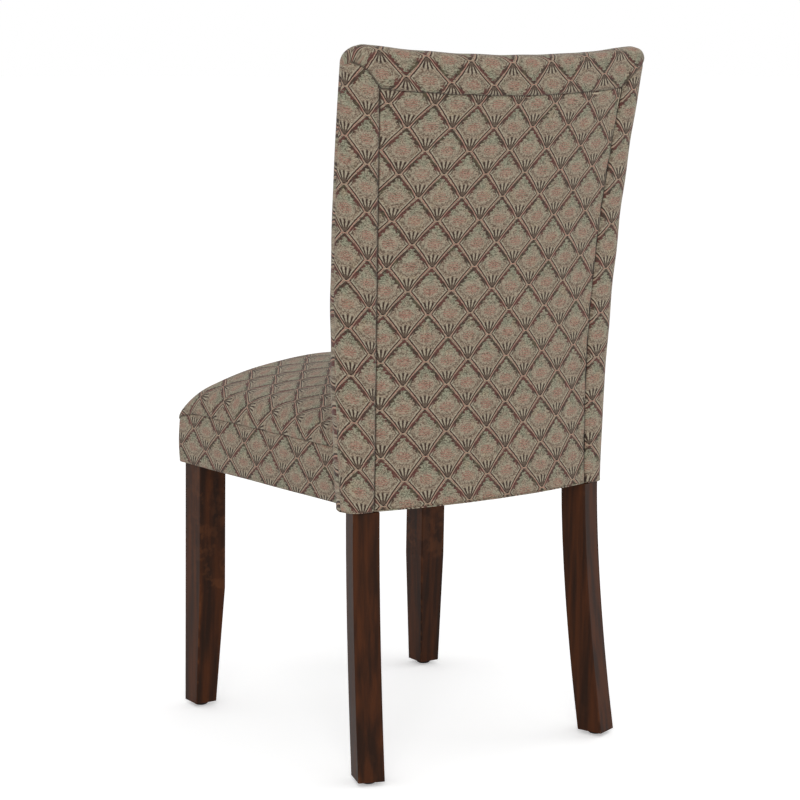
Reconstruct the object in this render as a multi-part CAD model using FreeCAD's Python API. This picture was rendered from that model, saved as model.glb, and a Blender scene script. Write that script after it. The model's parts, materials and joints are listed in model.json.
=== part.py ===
import FreeCAD, Part
import math
import os

# A parsons dining chair in millimetres, +Z up. The sitter faces -Y, with the left hand at +X.
# It is drawn with y = 0 at the front faces of the front legs, and each piece is then moved
# so that the origin lies on the floor under the middle of the chair.

Vector = FreeCAD.Vector
up = Vector(0, 0, 1)

# Whole chair
chair_height = 965.0
front_legs_to_origin = 234.3
frame_underside = 364.0
rail_height = 64.0
frame_top = frame_underside + rail_height
cloth = 1.2
easing = 0.3
clear_reach = 600.0

# Glides under the legs
glide_height = 6.0
glide_radius = 11.0
glide_flat_radius = 6.0
glide_rim_height = 2.0
glide_pin_radius = 1.5
glide_pin_length = 16.0

# Front legs
front_leg_span = 440.2
front_leg_top_side = 43.0
front_leg_foot_side = 34.0
front_leg_taper_height = 178.0
leg_arris = 2.0

# Rear posts: one piece from the floor to the top of the back
post_width = 36.6
post_depth = 38.5
post_turn = 19.4
post_x = 185.8
post_y = 400.9
post_foot_sweep = 39.2
post_foot_heading = 17.4
post_sweep_start = 372.0
post_sweep_power = 1.6
post_lean_share = 0.5
post_shoulder = 360.0

# Seat frame
rail_thickness = 22.0
seat_narrowing = 0.0847
seat_frame_depth = 375.2
corner_block_height = 45.0
corner_block_reach = 62.0
corner_block_pocket = 10.0
screw_length = 28.0
screw_radius = 2.2
screw_head_radius = 4.4
screw_tip_radius = 0.5
screw_inset = 20.0
dowel_radius = 4.0
dowel_length = 32.0
dowel_spacing = 30.0

# Seat padding and cover, measured from the frame outwards
seat_padding = 9.0
seat_crown_height = 511.0
seat_shoulder_height = 477.0
seat_shoulder_reach = 30.0
shoulder_bulge_across = 0.23
shoulder_bulge_up = 0.6
seat_side_height = 438.0
seat_front_edge_height = 424.0
seat_front_padding = 11.0
seat_front_roll = 62.0
front_roll_fullness = 2.2
front_roll_softness = 0.79
front_roll_stations = (0.01, 0.05, 0.12, 0.22, 0.36, 0.54, 0.76, 1.02)
seat_top_steps = 6
seat_edge_step = 2.0
seat_front_corner = 16.0
seat_rear_drop = 8.0
cover_turn_under = 20.0
wadding_thickness = 7.0

# Webbing under the seat and behind the back pad
webbing_width = 50.0
webbing_thickness = 1.5
seat_webs_along = 4
seat_webs_across = 4
web_ramp = 6.0
web_clearance = 0.1
web_side_room = 1.0
web_end_inset = 4.4
back_webs = 4
back_web_spacing = 78.0
back_web_top_room = 4.0
platform_cloth_thickness = 0.8
platform_cloth_inset = 2.0

# Back: a slab that is curved in plan and in profile, with a dipped top edge
back_underside = 361.0
back_half_width_low = 219.5
back_half_width_high = 246.5
back_width_high_level = 930.0
back_plan_radius = 900.0
back_rear_y = 437.1
back_profile_level = 480.0
back_profile_bend = 0.000195
back_thickness_low = 62.5
back_thickness_high = 50.0
back_top_dip = 12.0
back_top_corner = 26.0
back_rear_corner = 18.0
back_front_corner = 60.0
back_border_puff = 4.0
back_rear_top_roll = 9.0
back_front_top_roll = 18.0
back_edge_flat = 0.6
back_corner_stations = (0.2, 0.5, 1.0)
back_field_stations = (0.45, 0.72)
back_roll_share = 0.45

# Outside back panel and what holds it
panel_half_width = 179.3
panel_half_width_level = 470.0
panel_side_bend = 0.000119
panel_top_margin = 54.0
panel_top = chair_height - panel_top_margin
panel_top_dip = 9.0
panel_recess = 2.0
panel_seam_gap = 0.8
panel_board_thickness = 2.5
tack_strip_width = 9.0
tack_strip_inset = 2.0

# Back frame
back_rail_thickness = 25.0
top_rail_drop = 85.0
top_rail_underside = chair_height - top_rail_drop
top_rail_padding = 12.0
middle_rail_underside = 645.0
middle_rail_height = 50.0
back_frame_recess = 6.6

# Bolts that hold the back to the seat
bolt_radius = 4.0
bolt_head_radius = 6.5
bolt_head_height = 8.0
bolt_socket_radius = 3.4
bolt_socket_depth = 4.8
bolt_reach = 24.0
bolt_spacing = 130.0
bolt_row_spacing = 26.0
washer_radius = 9.0
washer_thickness = 1.6
insert_radius = 6.0
insert_length = 20.0

# Underside cloth
dust_cover_thickness = 0.8
dust_cover_margin = 9.0

os.makedirs("parts", exist_ok=True)


def box(x_low, x_high, y_low, y_high, z_low, z_high):
    """A block between two opposite corners."""
    size = (x_high - x_low, y_high - y_low, z_high - z_low)
    return Part.makeBox(*size, Vector(x_low, y_low, z_low))


def bow(start, middle, end):
    """An arc through three points."""
    return Part.Arc(start, middle, end).toShape()


def line(start, end):
    """A straight edge."""
    return Part.LineSegment(start, end).toShape()


def outline(points):
    """A closed wire with straight sides."""
    return Part.makePolygon(list(points) + [points[0]])


def prism(points, height):
    """A flat outline raised straight up."""
    return Part.Face(outline(points)).extrude(up * height)


def softened_outline(corners, radius):
    """A closed wire with square corners that are rounded to one radius."""
    rounds = []
    for index, corner in enumerate(corners):
        before = (corners[index - 1] - corner).normalize()
        after = (corners[(index + 1) % len(corners)] - corner).normalize()
        middle = corner + (before + after) * (radius * (1 - math.sqrt(0.5)))
        rounds.append((corner + before * radius, middle, corner + after * radius))
    edges = []
    for index, (start, middle, end) in enumerate(rounds):
        edges.append(bow(start, middle, end))
        edges.append(line(end, rounds[(index + 1) % len(rounds)][0]))
    return Part.Wire(edges)


def mirrored(shape):
    """The same piece on the other side of the chair."""
    return shape.mirror(Vector(0, 0, 0), Vector(1, 0, 0))


def pin(start, direction, length, radius):
    """A round bar that begins at a point and runs along a direction."""
    return Part.makeCylinder(radius, length, start, direction)


def without(shape, tools):
    """The shape with every tool cut out of it."""
    return shape.cut(list(tools)) if tools else shape


def save(name, solids):
    """Moves the solids over the origin and writes them as one named sub-part."""
    kept = []
    for shape in solids:
        moved = shape.copy()
        moved.translate(Vector(0, -front_legs_to_origin, 0))
        kept.extend(moved.Solids)
    group = kept[0] if len(kept) == 1 else Part.makeCompound(kept)
    group.exportStep(os.path.join("parts", name + ".step"))
    volume = sum(piece.Volume for piece in kept) / 1000.0
    print(name, len(kept), "solids", round(volume, 2), "cm3", "valid" if group.isValid() else "NOT VALID")


# Front legs: the outer faces are upright and the two inner faces taper to the foot

leg_outer_x = front_leg_span / 2.0
leg_inner_x = leg_outer_x - front_leg_top_side


def front_leg_section(side, level):
    """The square section at one level, with the outer front corner always in one place."""
    corners = [
        Vector(leg_outer_x, 0, level),
        Vector(leg_outer_x, side, level),
        Vector(leg_outer_x - side, side, level),
        Vector(leg_outer_x - side, 0, level),
    ]
    return softened_outline(corners, leg_arris)


foot_section = front_leg_section(front_leg_foot_side, glide_height)
knee_section = front_leg_section(front_leg_top_side, front_leg_taper_height)
head_section = front_leg_section(front_leg_top_side, frame_top)
front_leg = Part.makeLoft([foot_section, knee_section], True, True)
front_leg = front_leg.fuse(Part.makeLoft([knee_section, head_section], True, True))


# Rear posts: one curved piece each, turned to follow the curve of the back

turn = math.radians(post_turn)
post_across = Vector(math.cos(turn), -math.sin(turn), 0)
post_rearward = Vector(math.sin(turn), math.cos(turn), 0)
foot_heading = math.radians(post_foot_heading)


def back_rear_centre(level):
    """How far back the outside of the back lies at its middle, at one level."""
    return back_rear_y + back_profile_bend * (level - back_profile_level) ** 2


def post_centre(level):
    """The middle of the post's section: it sweeps back to the foot, and leans back with the back."""
    centre = Vector(post_x, post_y, level)
    if level < post_sweep_start:
        fall = (post_sweep_start - level) / (post_sweep_start - glide_height)
        sweep = post_foot_sweep * fall ** post_sweep_power
        centre += Vector(math.sin(foot_heading), math.cos(foot_heading), 0) * sweep
    if level > back_profile_level:
        lean = back_rear_centre(level) - back_rear_y
        centre += Vector(post_lean_share * lean, lean, 0)
    return centre


def post_section(level):
    """The post's turned rectangle at one level, with its arrises rounded."""
    centre = post_centre(level)
    half_across = post_across * (post_width / 2.0)
    half_rearward = post_rearward * (post_depth / 2.0)
    corners = [
        centre + half_across - half_rearward,
        centre + half_across + half_rearward,
        centre - half_across + half_rearward,
        centre - half_across - half_rearward,
    ]
    return softened_outline(corners, leg_arris)


post_top = chair_height - back_top_dip
leg_steps = 6
leg_levels = [
    glide_height + (post_sweep_start - glide_height) * step / leg_steps for step in range(leg_steps + 1)
]
lean_steps = 4
lean_levels = [
    back_profile_level + (post_top - back_profile_level) * step / lean_steps for step in range(lean_steps + 1)
]
post_lower = Part.makeLoft([post_section(level) for level in leg_levels], True, False)
post_middle = Part.makeLoft([post_section(post_sweep_start), post_section(back_profile_level)], True, True)
post_upper = Part.makeLoft([post_section(level) for level in lean_levels], True, False)
rear_post = post_lower.fuse([post_middle, post_upper])


# The back's outer form: sections on planes that fan out with its sides, joined from side to side

back_reference_width = back_half_width_low + (back_half_width_high - back_half_width_low) * (
    (back_profile_level - back_underside) / (back_width_high_level - back_underside)
)
panel_seam_reach = back_reference_width - panel_half_width
back_mid_level = (back_underside + chair_height) / 2.0


def back_half_width(level):
    """Half the width of the back, which grows steadily upwards."""
    share = (level - back_underside) / (back_width_high_level - back_underside)
    return back_half_width_low + (back_half_width_high - back_half_width_low) * share


def back_thickness(level):
    """The thickness of the padded back, which shrinks upwards from the seat."""
    share = (level - back_profile_level) / (back_width_high_level - back_profile_level)
    return back_thickness_low + (back_thickness_high - back_thickness_low) * max(0.0, share)


def plan_fall(x):
    """How far the curve of the back comes forward at a distance from its middle."""
    return back_plan_radius - math.sqrt(back_plan_radius ** 2 - x ** 2)


def border_puff(reach):
    """The padded border's rise behind the panel, from nothing at the seam to full at the corner."""
    share = (panel_seam_reach - reach) / (panel_seam_reach - back_rear_corner)
    share = min(1.0, max(0.0, share))
    return back_border_puff * share * share * (3 - 2 * share)


def quarter_fall(reach, across, deep):
    """How far a quarter of an ellipse falls back, at a reach from the side that it rounds."""
    share = min(1.0, reach / across)
    return deep * (1 - math.sqrt(1 - (1 - share) ** 2))


def back_section(side, reach, inset, underside):
    """The outline of the back on one of its fanned planes, set in by a named amount."""
    share = side * (1 - reach / back_reference_width)

    def x_at(level):
        return share * (back_half_width(level) - inset)

    def rear_at(level):
        radius = back_rear_corner - inset
        fall = plan_fall(x_at(level)) + quarter_fall(reach, radius, radius) - border_puff(reach)
        return back_rear_centre(level) - fall - inset

    def front_at(level):
        deep = back_thickness(level) + back_border_puff - back_rear_corner - inset
        rise = quarter_fall(reach, back_front_corner - inset, deep)
        return back_rear_centre(level) - plan_fall(x_at(level)) - back_thickness(level) + inset + rise

    spread = abs(x_at(chair_height)) / (back_half_width(chair_height) - back_top_corner)
    dip = back_top_dip * (1 - min(1.0, spread) ** 2)
    top = chair_height - dip - inset - quarter_fall(reach, back_top_corner - inset, back_top_corner - inset)
    room = rear_at(top) - front_at(top)
    rear_roll = min(back_rear_top_roll, room * back_roll_share)
    front_roll = min(back_front_top_roll, room * back_roll_share)
    slant = math.sqrt(0.5)

    def rear_point(level):
        return Vector(x_at(level), rear_at(level), level)

    def front_point(level):
        return Vector(x_at(level), front_at(level), level)

    rear_top = rear_point(top - rear_roll)
    rear_lip = Vector(x_at(top), rear_top.y - rear_roll, top)
    rear_mid_level = top - rear_roll * (1 - slant)
    rear_mid = Vector(x_at(rear_mid_level), rear_top.y - rear_roll * (1 - slant), rear_mid_level)
    front_top = front_point(top - front_roll)
    front_lip = Vector(x_at(top), front_top.y + front_roll, top)
    front_mid_level = top - front_roll * (1 - slant)
    front_mid = Vector(x_at(front_mid_level), front_top.y + front_roll * (1 - slant), front_mid_level)
    edges = [
        bow(rear_point(underside), rear_point(back_mid_level), rear_top),
        bow(rear_top, rear_mid, rear_lip),
        line(rear_lip, front_lip),
        bow(front_lip, front_mid, front_top),
        bow(front_top, front_point(back_mid_level), front_point(underside)),
        line(front_point(underside), rear_point(underside)),
    ]
    return Part.Wire(edges)


def back_form(inset, underside):
    """The solid form of the back, set in by a named amount and cut level at its underside."""
    reaches = [back_edge_flat]
    reaches += [back_rear_corner * share for share in back_corner_stations]
    reaches += [(back_rear_corner + panel_seam_reach) / 2.0, panel_seam_reach, back_front_corner]
    reaches += [back_reference_width * share for share in back_field_stations]
    stations = [(-1, reach) for reach in reaches] + [(1, back_reference_width)]
    stations += [(1, reach) for reach in reversed(reaches)]
    sections = [back_section(side, reach, inset, underside) for side, reach in stations]
    return Part.makeLoft(sections, True, False)


def panel_column(margin):
    """Everything behind the seat within the panel's outline, which is set in by a margin."""
    def side_x(level):
        return panel_half_width - margin + panel_side_bend * (level - panel_half_width_level) ** 2

    low = back_underside - rail_height
    top = panel_top - margin
    middle = (low + top) / 2.0
    left = [Vector(side_x(level), seat_frame_depth, level) for level in (low, middle, top)]
    right = [Vector(-point.x, point.y, point.z) for point in left]
    crest = Vector(0, seat_frame_depth, top - panel_top_dip)
    edges = [line(right[0], left[0]), bow(*left), bow(left[2], crest, right[2]), bow(*reversed(right))]
    return Part.Face(Part.Wire(edges)).extrude(Vector(0, clear_reach - seat_frame_depth, 0))


def curved_band(levels, half_width, recess, thickness):
    """An upright band that follows the back in plan and in profile, a recess in from the outside."""
    sections = []
    fall = plan_fall(half_width)
    ends = ((-half_width, fall), (0, 0), (half_width, fall))
    for level in levels:
        rear_y = back_rear_centre(level) - recess
        rear = [Vector(x, rear_y - drop, level) for x, drop in ends]
        front = [Vector(point.x, point.y - thickness, level) for point in rear]
        sides = [line(rear[2], front[2]), line(front[0], rear[0])]
        sections.append(Part.Wire([bow(*rear), sides[0], bow(*reversed(front)), sides[1]]))
    return Part.makeLoft(sections, True, len(levels) == 2)


def room_behind(recess):
    """Everything behind a surface that lies a recess in from the outside of the back."""
    low = back_underside - rail_height
    high = chair_height + rail_height
    levels = [low + (high - low) * step / lean_steps for step in range(lean_steps + 1)]
    return curved_band(levels, front_leg_span / 2.0, -rail_height, rail_height + recess)


rear_half = room_behind(back_thickness_high / 2.0)


def panel_block(margin):
    """The rear half of the back within the panel's outline, which is set in by a margin."""
    return panel_column(margin).common(rear_half)


# Seat: a form that narrows to the rear, with a crown, soft shoulders and a rolled front edge

def seat_half_width(y):
    """Half the width of the padded seat at a distance behind the front legs' faces."""
    return leg_outer_x + seat_padding - seat_narrowing * y


def front_growth(reach, roll):
    """How much of the crown's height is reached behind the rolled front edge, from 0 to 1."""
    share = max(0.0, 1.0 - reach / roll)
    return (1.0 - share ** front_roll_fullness) ** front_roll_softness


def seat_section(reach, inset):
    """The seat's outline on one upright plane, at a reach behind its front."""
    y = -seat_front_padding + inset + reach
    corner = seat_front_corner - inset / 2.0
    width = seat_half_width(y) - inset - quarter_fall(reach, corner, corner)
    growth = front_growth(reach, seat_front_roll)
    rear_share = max(0.0, (y - seat_frame_depth / 2.0) / (seat_frame_depth / 2.0))
    drop = seat_rear_drop * rear_share ** 2
    edge = seat_front_edge_height
    crown = edge + (seat_crown_height - edge) * growth - drop - inset
    shoulder = edge - seat_edge_step + (seat_shoulder_height - edge + seat_edge_step) * growth - drop - inset
    side = edge - 2 * seat_edge_step + (seat_side_height - edge + 2 * seat_edge_step) * growth - inset
    floor = frame_underside - cloth + inset
    bulge_x = width - seat_shoulder_reach * shoulder_bulge_across
    bulge_z = side + (shoulder - side) * shoulder_bulge_up
    shoulder_x = width - seat_shoulder_reach
    edges = [
        line(Vector(-width, y, floor), Vector(width, y, floor)),
        line(Vector(width, y, floor), Vector(width, y, side)),
        bow(Vector(width, y, side), Vector(bulge_x, y, bulge_z), Vector(shoulder_x, y, shoulder)),
        bow(Vector(shoulder_x, y, shoulder), Vector(0, y, crown), Vector(-shoulder_x, y, shoulder)),
        bow(Vector(-shoulder_x, y, shoulder), Vector(-bulge_x, y, bulge_z), Vector(-width, y, side)),
        line(Vector(-width, y, side), Vector(-width, y, floor)),
    ]
    return Part.Wire(edges)


def seat_form(inset, past_rear):
    """The solid form of the seat, set in by a named amount, as far as the back or past it."""
    length = seat_frame_depth + seat_front_padding - inset + past_rear
    rolled = [seat_front_roll * share for share in front_roll_stations]
    stride = (length - rolled[-1]) / seat_top_steps
    straight = [rolled[-1] + stride * (step + 1) for step in range(seat_top_steps)]
    return Part.makeLoft([seat_section(reach, inset) for reach in rolled + straight], True, False)


# Frames of the two units, drilled for their dowels, screws and bolts

def side_outer_x(y):
    """The outer face of the side rail, which runs in towards the back."""
    return leg_outer_x - seat_narrowing * y


def side_inner_x(y):
    """The inner face of the side rail."""
    return side_outer_x(y) - rail_thickness


rear_rail_front = seat_frame_depth - rail_thickness
level_low = frame_underside
rail_middle = frame_underside + rail_height / 2.0
side_rail = prism(
    [
        Vector(side_outer_x(front_leg_top_side), front_leg_top_side, level_low),
        Vector(side_outer_x(seat_frame_depth), seat_frame_depth, level_low),
        Vector(side_inner_x(seat_frame_depth), seat_frame_depth, level_low),
        Vector(side_inner_x(front_leg_top_side), front_leg_top_side, level_low),
    ],
    rail_height,
)
front_rail = box(-leg_inner_x, leg_inner_x, 0, rail_thickness, level_low, frame_top)
rear_rail = prism(
    [
        Vector(side_inner_x(rear_rail_front), rear_rail_front, level_low),
        Vector(side_inner_x(seat_frame_depth), seat_frame_depth, level_low),
        Vector(-side_inner_x(seat_frame_depth), seat_frame_depth, level_low),
        Vector(-side_inner_x(rear_rail_front), rear_rail_front, level_low),
    ],
    rail_height,
)

block_low = rail_middle - corner_block_height / 2.0
block_far_y = front_leg_top_side + corner_block_reach
front_block = prism(
    [
        Vector(leg_inner_x - corner_block_reach, rail_thickness, block_low),
        Vector(leg_inner_x, rail_thickness, block_low),
        Vector(leg_inner_x, front_leg_top_side, block_low),
        Vector(side_inner_x(front_leg_top_side), front_leg_top_side, block_low),
        Vector(side_inner_x(block_far_y), block_far_y, block_low),
    ],
    corner_block_height,
)
block_near_y = rear_rail_front - corner_block_reach
rear_block = prism(
    [
        Vector(side_inner_x(rear_rail_front), rear_rail_front, block_low),
        Vector(side_inner_x(rear_rail_front) - corner_block_reach, rear_rail_front, block_low),
        Vector(side_inner_x(block_near_y), block_near_y, block_low),
    ],
    corner_block_height,
)

# Screws run through pockets in the corner blocks, square to each rail

def block_screw(x, y, direction):
    """A countersunk wood screw whose head sits a pocket's depth from the rail's face at x and y."""
    start = Vector(x, y, rail_middle) - direction * corner_block_pocket
    head_height = screw_head_radius - screw_radius
    head = Part.makeCone(screw_head_radius, screw_radius, head_height, start, direction)
    shank = pin(start + direction * head_height, direction, screw_length - 2 * head_height, screw_radius)
    tip_start = start + direction * (screw_length - head_height)
    tip = Part.makeCone(screw_radius, screw_tip_radius, head_height, tip_start, direction)
    return head.fuse([shank, tip])


def block_pocket(x, y, direction):
    """The clear way to a screw's head through the corner block."""
    start = Vector(x, y, rail_middle) - direction * corner_block_pocket
    return pin(start, direction * -1, corner_block_reach, screw_head_radius)


forward = Vector(0, -1, 0)
rearward = Vector(0, 1, 0)
outward = Vector(1, 0, 0)
inward = Vector(-1, 0, 0)
front_screw_y = block_far_y - screw_inset
rear_screw_y = block_near_y + screw_inset
front_places = [
    (leg_inner_x - corner_block_reach + screw_inset, rail_thickness, forward),
    (side_inner_x(front_screw_y), front_screw_y, outward),
]
rear_places = [
    (side_inner_x(rear_rail_front) - corner_block_reach + screw_inset, rear_rail_front, rearward),
    (side_inner_x(rear_screw_y), rear_screw_y, outward),
]
block_screws = [block_screw(*place) for place in front_places + rear_places]
front_block = without(front_block, [block_pocket(*place) for place in front_places] + block_screws)
rear_block = without(rear_block, [block_pocket(*place) for place in rear_places] + block_screws)

# Dowels lie half in each of the two pieces that they join

dowel_levels = [rail_middle - dowel_spacing / 2.0, rail_middle + dowel_spacing / 2.0]
rail_half = rail_thickness / 2.0


def dowel(middle, direction):
    """A dowel centred on a joint."""
    return pin(middle - direction * (dowel_length / 2.0), direction, dowel_length, dowel_radius)


leg_joint_x = side_outer_x(front_leg_top_side) - rail_half
rear_joint_y = rear_rail_front + rail_half
seat_dowels = []
for level in dowel_levels:
    seat_dowels.append(dowel(Vector(leg_inner_x, rail_half, level), outward))
    seat_dowels.append(dowel(Vector(leg_joint_x, front_leg_top_side, level), rearward))
    seat_dowels.append(dowel(Vector(side_inner_x(rear_joint_y), rear_joint_y, level), outward))
seat_dowels += [mirrored(piece) for piece in seat_dowels]

# Bolts run from inside the seat through its rear rail into threaded inserts in the back's lower rail

bolt_places = [
    (x, rail_middle + rise)
    for x in (-bolt_spacing / 2.0, bolt_spacing / 2.0)
    for rise in (-bolt_row_spacing / 2.0, bolt_row_spacing / 2.0)
]
bolts = []
washers = []
inserts = []
bolt_ways = []
insert_ways = []
for x, level in bolt_places:
    rail_face = Vector(x, rear_rail_front, level)
    seat_face = Vector(x, seat_frame_depth, level)
    under_head = rail_face + forward * washer_thickness
    shank = pin(under_head, rearward, rail_thickness + bolt_reach, bolt_radius)
    bolt_head = pin(under_head, forward, bolt_head_height, bolt_head_radius)
    socket_start = under_head + forward * bolt_head_height
    turns = [math.radians(60 * side) for side in range(6)]
    spokes = [Vector(math.cos(angle), 0, math.sin(angle)) * bolt_socket_radius for angle in turns]
    socket_mouth = outline([socket_start + spoke for spoke in spokes])
    socket = Part.Face(socket_mouth).extrude(rearward * bolt_socket_depth)
    bolts.append(bolt_head.fuse(shank).cut(socket))
    washer = pin(rail_face, forward, washer_thickness, washer_radius)
    washers.append(washer.cut(pin(rail_face, forward, washer_thickness, bolt_radius + easing)))
    insert = pin(seat_face, rearward, insert_length, insert_radius)
    inserts.append(insert.cut(pin(seat_face, rearward, insert_length, bolt_radius)))
    bolt_ways.append(pin(rail_face, rearward, rail_thickness, bolt_radius + easing))
    insert_ways.append(pin(seat_face, rearward, bolt_reach, insert_radius))

# Frame of the back: a curved top rail with the dipped edge, a middle rail and a thick lower rail

posts = [rear_post, mirrored(rear_post)]


def between_posts(shape):
    """The part of a rail that is left between the two posts."""
    return max(without(shape, posts).Solids, key=lambda piece: piece.Volume)


rail_reach = post_x
post_skin = back_form(back_frame_recess, post_shoulder - rail_height)
shoulder_room = box(-clear_reach, clear_reach, 0, clear_reach, 0, post_shoulder)
rear_post = rear_post.common(post_skin.fuse(shoulder_room))
posts = [rear_post, mirrored(rear_post)]
post_blanks = posts
top_rail_levels = [top_rail_underside, (top_rail_underside + chair_height) / 2.0, chair_height]
top_rail_reach = post_centre(post_top).x
top_rail = curved_band(top_rail_levels, top_rail_reach, back_frame_recess, back_rail_thickness)
top_rail_form = back_form(back_frame_recess, back_underside)
top_rail_form.translate(up * (back_frame_recess - top_rail_padding))
top_rail = between_posts(top_rail.common(top_rail_form))
top_rail_blank = top_rail
middle_levels = [middle_rail_underside, middle_rail_underside + middle_rail_height]
middle_rail = between_posts(curved_band(middle_levels, rail_reach, back_frame_recess, back_rail_thickness))
lower_rail_depth = back_rear_y + back_rail_thickness
lower_rail = curved_band([frame_underside, frame_top], rail_reach, back_frame_recess, lower_rail_depth)
post_inner_face = post_centre(rail_middle) - post_across * (post_width / 2.0)
far_rearward = post_rearward * clear_reach
far_across = post_across * clear_reach
beside_post = [
    post_inner_face - far_rearward,
    post_inner_face + far_rearward,
    post_inner_face + far_rearward + far_across,
    post_inner_face - far_rearward + far_across,
]
beside_post = prism([Vector(point.x, point.y, 0) for point in beside_post], chair_height)
before_seat_end = box(-clear_reach, clear_reach, -clear_reach, seat_frame_depth, 0, chair_height)
lower_rail = without(lower_rail, [beside_post, mirrored(beside_post), before_seat_end])

back_dowels = []
for low, high in (
    (frame_underside, frame_top),
    (middle_rail_underside, middle_rail_underside + middle_rail_height),
    (top_rail_underside, post_top - top_rail_padding),
):
    for side in (-1, 1):
        level = (low + high) / 2.0 + side * min(dowel_spacing, (high - low) / 2.0) / 2.0
        middle = post_centre(level) - post_across * (post_width / 2.0)
        fall = plan_fall(middle.x) + back_frame_recess + back_rail_thickness / 2.0
        back_dowels.append(dowel(Vector(middle.x, back_rear_centre(level) - fall, level), outward))
back_dowels += [mirrored(piece) for piece in back_dowels]


# Drill the frames for what passes through them

right_screws = [mirrored(piece) for piece in block_screws]
front_leg = without(front_leg, seat_dowels)
front_rail = without(front_rail, seat_dowels + block_screws + right_screws)
side_rail = without(side_rail, seat_dowels + block_screws)
rear_rail = without(rear_rail, seat_dowels + block_screws + right_screws + bolt_ways)
rear_post = without(rear_post, back_dowels)
posts = [rear_post, mirrored(rear_post)]
top_rail = without(top_rail, back_dowels)
middle_rail = without(middle_rail, back_dowels)
lower_rail = without(lower_rail, back_dowels + insert_ways)

# Glides: a domed foot with a flat face to stand on, and a pin that is driven into the leg

def glide(x, y):
    """A round glide under a leg, with its foot at floor level."""
    slant = math.sqrt(0.5)
    dome_reach = glide_radius - glide_flat_radius
    dome_rise = glide_height - glide_rim_height
    centre = Vector(0, 0, 0)
    flat_edge = Vector(glide_flat_radius, 0, 0)
    dome_middle = Vector(glide_flat_radius + dome_reach * slant, 0, dome_rise * (1 - slant))
    rim = Vector(glide_radius, 0, dome_rise)
    shoulder = Vector(glide_radius, 0, glide_height)
    top = Vector(0, 0, glide_height)
    profile = [
        line(centre, flat_edge),
        bow(flat_edge, dome_middle, rim),
        line(rim, shoulder),
        line(shoulder, top),
        line(top, centre),
    ]
    foot = Part.Face(Part.Wire(profile)).revolve(centre, up, 360)
    foot = foot.fuse(pin(top, up, glide_pin_length, glide_pin_radius))
    foot.translate(Vector(x, y, 0))
    return foot


front_glide_inset = front_leg_foot_side / 2.0
post_foot = post_centre(glide_height)
front_glide = glide(leg_outer_x - front_glide_inset, front_glide_inset)
rear_glide = glide(post_foot.x, post_foot.y)
front_leg = without(front_leg, [front_glide])
rear_post = without(rear_post, [rear_glide])
posts = [rear_post, mirrored(rear_post)]
front_legs = [front_leg, mirrored(front_leg)]

# Webbing woven over the seat frame: each strap passes over one strap and under the next

web_low = frame_top
web_rise = webbing_thickness + web_clearance
web_top = frame_top + web_rise + webbing_thickness


def woven_strap(length, crossings, over_first):
    """The side view of a strap that lies on the rail at both ends and rises over every other crossing."""
    reach = webbing_width / 2.0 + web_side_room
    path = [(0.0, 0.0)]
    for index, place in enumerate(crossings):
        if (index % 2 == 0) == over_first:
            path += [
                (place - reach - web_ramp, 0.0),
                (place - reach, web_rise),
                (place + reach, web_rise),
                (place + reach + web_ramp, 0.0),
            ]
    path.append((length, 0.0))
    lower = [Vector(0, along, rise) for along, rise in path]
    upper = [Vector(0, along, rise + webbing_thickness) for along, rise in reversed(path)]
    return Part.Face(outline(lower + upper)).extrude(outward * webbing_width)


web_start_y = web_end_inset
web_end_y = seat_frame_depth - web_end_inset
clear_depth = rear_rail_front - rail_thickness
cross_stride = clear_depth / seat_webs_across
cross_ys = [rail_thickness + cross_stride * (step + 0.5) for step in range(seat_webs_across)]
clear_width = 2 * side_inner_x(rear_rail_front)
along_xs = [clear_width * ((step + 0.5) / seat_webs_along - 0.5) for step in range(seat_webs_along)]
seat_webs = []
for index, x in enumerate(along_xs):
    strap = woven_strap(web_end_y - web_start_y, [y - web_start_y for y in cross_ys], index % 2 == 0)
    strap.translate(Vector(x - webbing_width / 2.0, web_start_y, web_low))
    seat_webs.append(strap)
for index, y in enumerate(cross_ys):
    half_length = side_outer_x(y + webbing_width / 2.0) - web_end_inset
    strap = woven_strap(2 * half_length, [x + half_length for x in along_xs], index % 2 == 1)
    strap.rotate(Vector(0, 0, 0), up, -90)
    strap.translate(Vector(-half_length, y + webbing_width / 2.0, web_low))
    seat_webs.append(strap)

cloth_front = platform_cloth_inset
cloth_rear = seat_frame_depth - platform_cloth_inset
platform_corners = [
    Vector(side_outer_x(rail_thickness) - rail_half, cloth_front, web_top),
    Vector(side_outer_x(cloth_rear) - rail_half, cloth_rear, web_top),
]
platform_corners += [Vector(-corner.x, corner.y, web_top) for corner in reversed(platform_corners)]
platform_cloth = prism(platform_corners, platform_cloth_thickness)

# Seat padding: a crowned foam block on the platform, wrapped in wadding that also covers the rails

back_room = back_form(-easing, back_underside - rail_height)
platform_top = web_top + platform_cloth_thickness
below_platform = box(-clear_reach, clear_reach, -clear_reach, clear_reach, 0, platform_top)
beyond_frame = box(-clear_reach, clear_reach, seat_frame_depth, clear_reach, 0, chair_height)
core_inset = cloth + easing + wadding_thickness
seat_foam = without(seat_form(core_inset + easing, glide_height), [below_platform, beyond_frame, back_room])
seat_core = seat_form(core_inset, 2 * glide_height)
below_wadding = box(-clear_reach, clear_reach, -clear_reach, clear_reach, 0, frame_underside + core_inset)
seat_wadding = seat_form(cloth + easing, glide_height)
seat_wadding = without(seat_wadding, [seat_core, below_wadding, beyond_frame, back_room] + front_legs)

# Seat cover: one skin over the crown, down the front and sides, and turned in under the rails

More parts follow.
